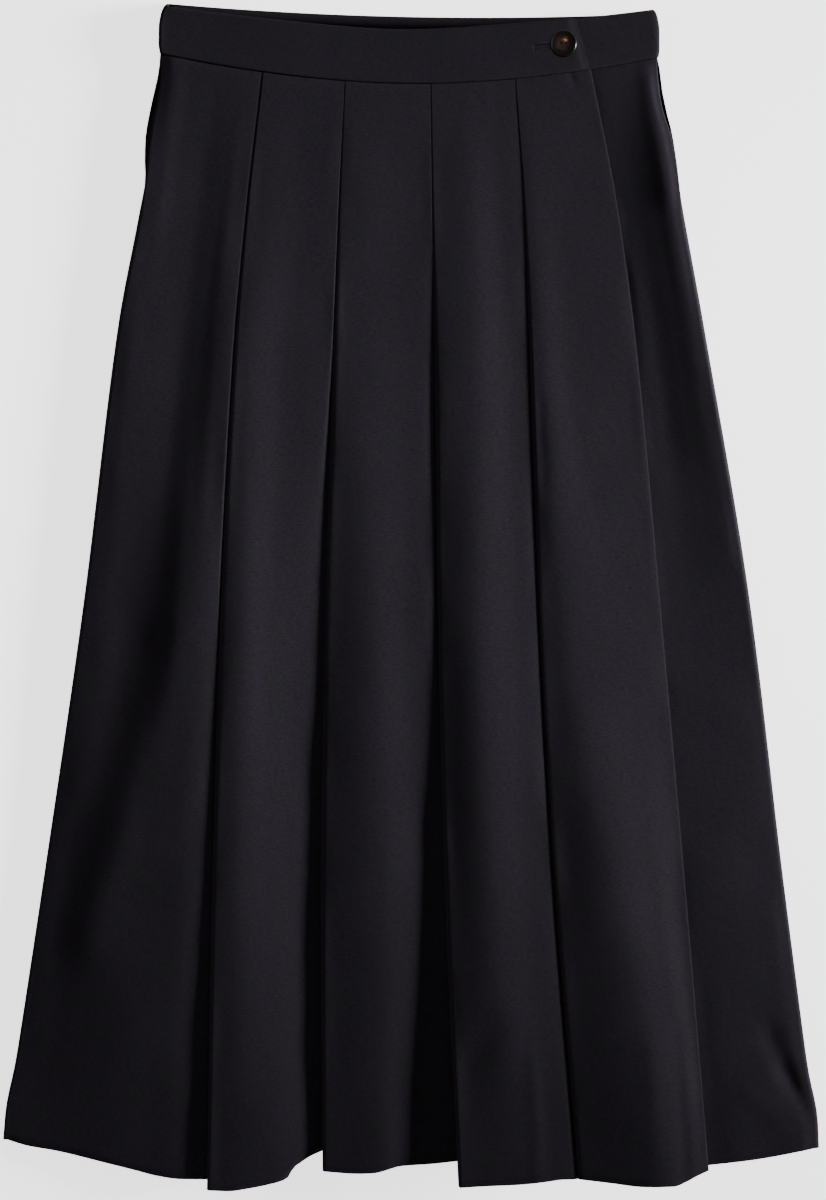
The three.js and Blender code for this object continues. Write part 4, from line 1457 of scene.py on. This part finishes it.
@dataclass
class Waistband:
    """One long double strip: over the front, round the left side, across the back, round the right
    side and under the front."""

    over_level: float = 10.7
    under_level: float = 8.0
    left: float = -180.0
    right: float = 177.3
    left_roll: float = 1.7
    right_roll: float = 1.3
    corner_places: tuple[float, ...] = (0, 0.08, 0.2, 0.45, 0.8, 1)
    left_trim: tuple[float, ...] = (5.2, 3.2, 1.6, 0.2, 0, 1.0)
    right_trim: tuple[float, ...] = (4.0, 2.2, 1.1, 0, 0, 0.7)
    end_top: float = 116.6
    end_bottom: float = 127.3
    end_thin: float = 0.22
    end_press: float = 5.0
    end_sag: float = 0.55
    sag_reach: float = 7.0
    under_end: float = -78.0
    sunk: float = -1.06
    dip: float = 3.5
    dip_at: float = -8.0
    dip_reach: float = 70.0
    # Painted shade on the back's inner face: darker from shade_from to shade_to mm below its top edge, by
    # up to the share shade.
    shade_from: float = 2.5
    shade_to: float = 7.5
    shade: float = 0.8
    rows: int = 16
    over_steps: int = 130
    end_crowd: float = 1.6
    turn_steps: int = 14
    back_steps: int = 90
    under_steps: int = 80
    hole: Buttonhole = Buttonhole()
    waviness: Unevenness = field(default_factory=lambda: Unevenness(21, 40, 150, 0.18))

    def row(self, share: float) -> np.ndarray:
        """One row of the band's sheet.

        Args:
            share: 0 at the band's top edge and 1 at its lower seam.

        Returns:
            The row's points, from the under end round to the over end.
        """
        back, gap = CUT.band_cloth / 2, CUT.seam_gap / 2
        left_turn, right_turn = (self.over_level - back) / 2, (self.under_level - back) / 2
        left_in = float(smooth_through(self.corner_places, self.left_trim, share))
        right_in = float(smooth_through(self.corner_places, self.right_trim, share))
        left_x = self.left + back + self.left_roll + left_in
        right_x = self.right - back - self.right_roll - right_in
        end = float(mix(self.end_top, self.end_bottom, share))
        t = np.linspace(0, 1, self.over_steps) ** self.end_crowd
        over = np.column_stack([mix(end, left_x, t), np.full(self.over_steps, self.over_level)])
        left = arc(left_x, back + left_turn, self.left_roll, left_turn, 90, 270, self.turn_steps)
        behind = line_points((left_x, back), (right_x, back), self.back_steps - 1)
        right = arc(right_x, back + right_turn, self.right_roll, right_turn, -90, 90, self.turn_steps)
        last = (self.under_end, self.under_level)
        under = line_points((right_x, self.under_level), last, self.under_steps - 1)
        points = np.vstack([over, left[1:-1], behind, right[1:-1], under])
        turning = ease(0, self.turn_steps, np.arange(1, self.turn_steps))
        ends = np.zeros(self.over_steps), np.zeros(self.under_steps)
        back_share = np.concatenate([ends[0], turning, np.ones(self.back_steps), 1 - turning, ends[1]])
        x = points[:, 0]
        front_top = CUT.front_top.y(x) - self.dip * np.exp(-(((x - self.dip_at) / self.dip_reach) ** 2))
        front_y = mix(front_top, CUT.front_seam.y(x) + gap, share)
        back_y = mix(CUT.back_top.y(x), CUT.back_seam.y(x) + gap, share)
        y = mix(front_y, back_y, back_share)
        front = (1 - back_share) * (points[:, 1] > self.over_level - 0.1)
        lift = self.waviness.lift(x, y) + (CUT.band_cloth - self.thinned(x, end)) / 2
        z = points[:, 1] + front * (lift - self.end_sag * (1 - ease(0, self.sag_reach, end - x)))
        return np.column_stack([x, y, z])[::-1]

    def thinned(self, x: np.ndarray, end: float | np.ndarray) -> np.ndarray:
        """The over band's thickness at X, thinner towards its finished end."""
        return mix(self.end_thin, CUT.band_cloth, ease(0, self.end_press, end - x))

    def build(self) -> bpy.types.Object:
        """Makes the band, and hides the solid that it stands for.

        Returns:
            The band's object.
        """
        grid = np.array([self.row(float(share)) for share in np.linspace(0, 1, self.rows + 1)])
        grid = placed(grid, "waistband", 0.5, 1.0, self.sunk)
        thick = np.full(grid.shape[:2], CUT.band_cloth)
        thick[:, -self.over_steps :] = self.thinned(grid[:, -self.over_steps :, 0], grid[:, -1:, 0])
        made = shell("waistband_cloth", grid, thick, cloth_uv(grid))
        cut_out(made, self.hole.cutter())
        self.paint_shade_inside(made)
        return dressed(made, "waistband")

    def paint_shade_inside(self, made: bpy.types.Object) -> None:
        """Paints shade where the back's inner face lies deep behind the front: the painted shade attribute
        is 1 in the open, less there.

        Args:
            made: The band's object.
        """
        places = np.empty(len(made.data.vertices) * 3)
        made.data.vertices.foreach_get("co", places)
        x, y, z = places.reshape(-1, 3).T / MM
        # Painted shade: stands in for the shadow deep behind the front band.
        deep = ease(self.shade_from, self.shade_to, CUT.back_top.y(x) - y) * (z < self.over_level / 3)
        shade = made.data.attributes.new("band_painted_shade", "FLOAT", "POINT")
        shade.data.foreach_set("value", (1 - self.shade * deep).astype(np.float32))


# ---------------------------------------------------------------- button


@dataclass(frozen=True)
class Button:
    """A dished horn button with a narrow rim and two holes, on a shank of thread."""

    thick: float = 3.2
    rim_at: float = 0.885
    rim_wide: float = 0.045
    rim_rise: float = 0.28
    fall: float = 0.55
    dish: float = 1.0
    dish_from: float = 0.25
    floor: float = 0.3
    hole: float = 0.62
    hole_soft: tuple[float, float] = (0.75, 1.1)
    spread: float = 1.7
    fine_reach: float = 4.0
    sides: int = 144
    under_radii: tuple[float, ...] = (0.985, 0.93, 0.82, 0.7)
    under_heights: tuple[float, ...] = (0.3, 0.14, 0.04, 0.0)
    turns: int = 7
    turn_steps: int = 18
    thread: float = 0.24
    thread_in: float = 0.25
    hang: tuple[float, float] = (-1.6, -2.6)

    def middle(self, node: str) -> np.ndarray:
        """The middle of the button's solid or its thread's, moved to where the button hangs."""
        low, high = node_box(node)
        return (low + high) / 2 + [*self.hang, 0]

    def profile(self, radius: float) -> tuple[np.ndarray, np.ndarray]:
        """The button's top from its middle to its widest ring.

        Args:
            radius: The button's radius.

        Returns:
            The radii and the heights.
        """
        slope = radius * 0.8
        r = np.concatenate([
            np.linspace(0, self.fine_reach, 34),
            np.linspace(self.fine_reach, slope, 14)[1:],
            np.linspace(slope, radius, 26)[1:],
        ])
        share = r / radius
        bowl = self.dish * (1 - self.rim_rise) * ease(self.dish_from, self.rim_at - 0.05, share)
        crest = self.dish * self.rim_rise * np.exp(-(((share - self.rim_at) / self.rim_wide) ** 2))
        outside = np.clip((share - self.rim_at) / (1 - self.rim_at), 0, 1)
        fall = self.thick * self.fall * (1 - np.sqrt(1 - outside**2))
        return r, self.thick - self.dish + bowl + crest - fall

    def rings(self, radius: float) -> np.ndarray:
        """The rings of points that the button is turned from.

        Args:
            radius: The button's radius.

        Returns:
            The rings, from the middle of the top down to the underside.
        """
        r, z = self.profile(radius)
        angles = np.linspace(0, 2 * math.pi, self.sides, endpoint=False)
        x, y = r[:, None] * np.cos(angles), r[:, None] * np.sin(angles)
        near, far = (self.hole * share for share in self.hole_soft)
        wells = np.zeros_like(x)
        for side in Side:
            wells = np.maximum(wells, 1 - ease(near, far, np.hypot(x - side.value * self.spread, y)))
        tops = np.dstack([x, y, z[:, None] - wells * (self.thick - self.dish - self.floor)])
        under_r = np.array(self.under_radii)[:, None] * radius
        under_z = np.repeat(np.array(self.under_heights)[:, None] * self.thick, self.sides, axis=1)
        under = np.dstack([under_r * np.cos(angles), under_r * np.sin(angles), under_z])
        return np.vstack([tops, under])

    def build(self, finish: bpy.types.Material) -> bpy.types.Object:
        """Turns the button on its solid's place.

        Args:
            finish: Its material.

        Returns:
            The button's object.
        """
        low, high = node_box("button")
        radius, sides = (high[0] - low[0]) / 2, self.sides
        tops, rings = np.split(self.rings(radius), [1])
        foot = [*self.middle("button")[:2], low[2]]
        points = np.vstack([tops[0, :1], rings.reshape(-1, 3), [[0, 0, 0]]]) + foot
        faces = [(0, 1 + i, 1 + (i + 1) % sides) for i in range(sides)]
        for j in range(len(rings) - 1):
            a = 1 + j * sides
            b = a + sides
            faces += [(a + i, b + i, b + (i + 1) % sides, a + (i + 1) % sides) for i in range(sides)]
        last = 1 + (len(rings) - 1) * sides
        faces += [(last + (i + 1) % sides, last + i, len(points) - 1) for i in range(sides)]
        made = add_mesh("button_turned", points, faces)
        made.data.materials.append(finish)
        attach(made, BODY)
        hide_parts("button")
        LOG.info("button: radius %.1f mm", radius)
        return made

    def shank(self, finish: bpy.types.Material) -> bpy.types.Object:
        """Winds the thread between the bands and the button.

        Args:
            finish: Its material.

        Returns:
            The thread's object.
        """
        low, high = node_box("button_thread")
        middle = self.middle("button_thread")
        turns = np.linspace(0, 2 * math.pi * self.turns, self.turns * self.turn_steps)
        around = (high[0] - low[0]) / 2 - self.thread_in
        path = np.column_stack([
            middle[0] + around * np.cos(turns),
            middle[1] + around * np.sin(turns),
            np.linspace(low[2] + self.thread_in, high[2] - self.thread_in, len(turns)),
        ])
        made = rod("button_shank_thread", path, self.thread, self.thread, 8)
        made.data.materials.append(finish)
        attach(made, BODY)
        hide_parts("button_thread")
        LOG.info("button shank: %d turns", self.turns)
        return made


# ---------------------------------------------------------------- pockets


@dataclass(frozen=True)
class PocketBag:
    """A pocket bag between back and front: one folded piece of pocketing with a facing in its mouth."""

    side: Side
    cloth: float = 0.4
    corner: float = 38.0
    reach: float = 92.0
    below_mouth: float = 14.0
    mouth_in: float = 1.6
    far_in: float = 0.6
    thin_from: float = 0.85
    thin: float = 0.6
    facing: float = 30.0
    facing_out: float = 0.6
    facing_rise: float = 0.55
    rows: int = 44
    facing_rows: int = 33
    columns: int = 22
    facing_columns: int = 8
    turn_steps: int = 8

    def ends(self, share: float, drop: float) -> tuple[float, float]:
        """The bag's two ends in a section.

        Args:
            share: The share of the bag's drop.
            drop: The bag's drop.

        Returns:
            X of the mouth edge and X of the far edge.
        """
        y, way = share * drop, self.side.value
        along = y / CUT.drop
        below = float(ease(CUT.pocket_end - 0.01, CUT.pocket_end + 0.03, along))
        outer = side_line(self.side, min(along, CUT.pocket_end))
        outer -= way * (CUT.cloth + self.mouth_in + self.below_mouth * below)
        rounding = np.clip((y - drop + self.corner) / self.corner, 0, 0.999)
        round_in = self.corner * (1 - math.sqrt(1 - rounding**2))
        far = side_line(self.side, 0) - way * (CUT.cloth + self.far_in + self.reach - round_in)
        return outer - way * round_in, far

    def sheets(self, node: str) -> tuple[np.ndarray, np.ndarray]:
        """The bag's and the facing's sheets on the solid's place.

        Args:
            node: The bag's solid.

        Returns:
            The bag's middle points and the facing's.
        """
        low, high = node_box(node)
        drop, flat, way = high[1] - low[1], low[2] + self.cloth, self.side.value
        rows, strips = [], []
        for share in np.linspace(0, 1, self.rows + 1):
            outer, far = self.ends(float(share), drop)
            thinning = 1 - self.thin * float(ease(self.thin_from, 1, share))
            gap = (high[2] - low[2] - 2 * self.cloth) * thinning / 2
            turn = arc(0, flat + gap, gap, gap, 270, 90, self.turn_steps)
            turn[:, 0] = far + way * (gap - np.abs(turn[:, 0]))
            lower = line_points((outer, flat), (turn[0, 0], flat), self.columns - 1)
            points = np.vstack([lower, turn[1:-1], lower[::-1] + [0, 2 * gap]])
            y = high[1] - self.cloth - share * (drop - 2 * self.cloth)
            rows.append(np.insert(points, 1, y, axis=1))
            ends = outer + way * self.facing_out, outer - way * self.facing
            level = flat + self.facing_rise
            strips.append(line_points((ends[0], y, level), (ends[1], y, level), self.facing_columns - 1))
        return np.array(rows), np.array(strips[: self.facing_rows])

    def build(self) -> list[bpy.types.Object]:
        """Makes the bag and its facing.

        Returns:
            The two pieces.
        """
        name = self.side.name.lower()
        made = []
        bag, facing = self.sheets(f"pocket_bag_{name}")
        for part, grid, thick in (("bag", bag, self.cloth), ("facing", facing, CUT.cloth)):
            if self.side is Side.RIGHT:
                grid = grid[:, ::-1]
            piece = shell(f"pocket_{part}_{name}_cloth", grid, thick, cloth_uv(grid))
            made.append(dressed(piece, f"pocket_bag_{name}"))
        return made


# ---------------------------------------------------------------- light and view


@dataclass(frozen=True)
class Studio:
    """Plain soft light and the camera, straight above the skirt."""

    height: float = 1.9
    view_width: float = 0.5906
    view_shape: float = 1200 / 826
    middle: tuple[float, float] = (0.0014, -0.0018)
    sensor: float = 36.0
    around: float = 0.15

    def area(
        self, name: str, place: tuple, aim: tuple, size: tuple, power: float, spread: float
    ) -> bpy.types.Object:
        """A soft rectangular light.

        Args:
            name: Its name.
            place: Where it hangs, in metres.
            aim: Where it points.
            size: Its width and height in metres.
            power: Its power in watts.
            spread: The full angle of its beam in degrees.

        Returns:
            The light's object.
        """
        data = bpy.data.lights.new(name, "AREA")
        data.shape = "RECTANGLE"
        data.size, data.size_y = size
        data.energy = power
        data.spread = math.radians(spread)
        light = bpy.data.objects.new(name, data)
        light.location = place
        light.rotation_euler = (Vector(aim) - Vector(place)).to_track_quat("-Z", "Y").to_euler()
        bpy.context.scene.collection.objects.link(light)
        return light

    def spare(self, light: bpy.types.Object, pieces: list[bpy.types.Object]) -> None:
        """Keeps small raised pieces from throwing a light's long shadow.

        Args:
            light: The light.
            pieces: The pieces.
        """
        group = bpy.data.collections.new("no_long_shadow")
        for piece in pieces:
            group.objects.link(piece)
        light.light_linking.blocker_collection = group
        for item in group.collection_objects:
            item.light_linking.link_state = "EXCLUDE"

    def build(self, small: list[bpy.types.Object]) -> None:
        """Hangs the lights and sets the camera.

        Args:
            small: Pieces that throw no long shadow.
        """
        key = self.area("key", (3.0, 0.35, 0.56), (-0.05, 0.1, 0.0), (1.1, 0.4), 18.6, 30)
        self.spare(key, small)
        self.area("fill", (-1.8, 0.2, 0.75), (0.0, 0.0, 0.0), (0.8, 0.8), 7.0, 180)
        world = bpy.data.worlds.new("studio")
        world.use_nodes = True
        background = world.node_tree.nodes["Background"]
        background.inputs["Color"].default_value = (1, 1, 1, 1)
        background.inputs["Strength"].default_value = self.around
        bpy.context.scene.world = world
        data = bpy.data.cameras.new("above")
        data.sensor_width = self.sensor
        data.lens = self.sensor * self.height / (self.view_width * self.view_shape)
        camera = bpy.data.objects.new("above", data)
        camera.location = (*self.middle, self.height)
        bpy.context.scene.collection.objects.link(camera)
        bpy.context.scene.camera = camera


# ---------------------------------------------------------------- making


def main() -> None:
    """Builds the pieces in order."""
    logging.basicConfig(level=logging.INFO, format="%(name)s: %(message)s")
    weave = TwillWeave().group()
    suiting = ClothFinish("black_suiting", *SUITING_SHADES).material(weave)
    # The band's finish carries painted shade on its inner face.
    band_cloth = ClothFinish("black_band_suiting", *BAND_SHADES, reads_band_painted_shade=True).material(weave)
    trim_cloth = ClothFinish("black_trim_suiting", *BAND_SHADES).material(weave)
    PaleFloor().build()
    for panel in (BackPanel(), UnderApron(), OverApron()):
        panel.build().data.materials.append(suiting)
    band = Waistband()
    band.build().data.materials.append(band_cloth)
    for piece in band.hole.build():
        piece.data.materials.append(trim_cloth)
    pocketing = ClothFinish("black_pocketing", *POCKETING_SHADES).material(weave)
    for side in Side:
        bag, facing = PocketBag(side).build()
        bag.data.materials.append(pocketing)
        facing.data.materials.append(suiting)
    thread = ClothFinish("black_thread", *THREAD_SHADES, threads=5000.0).material(weave)
    button = Button()
    horn = HornFinish().material(button.middle("button"))
    Studio().build([button.build(horn), button.shank(thread)])


if __name__ == "__main__":
    main()
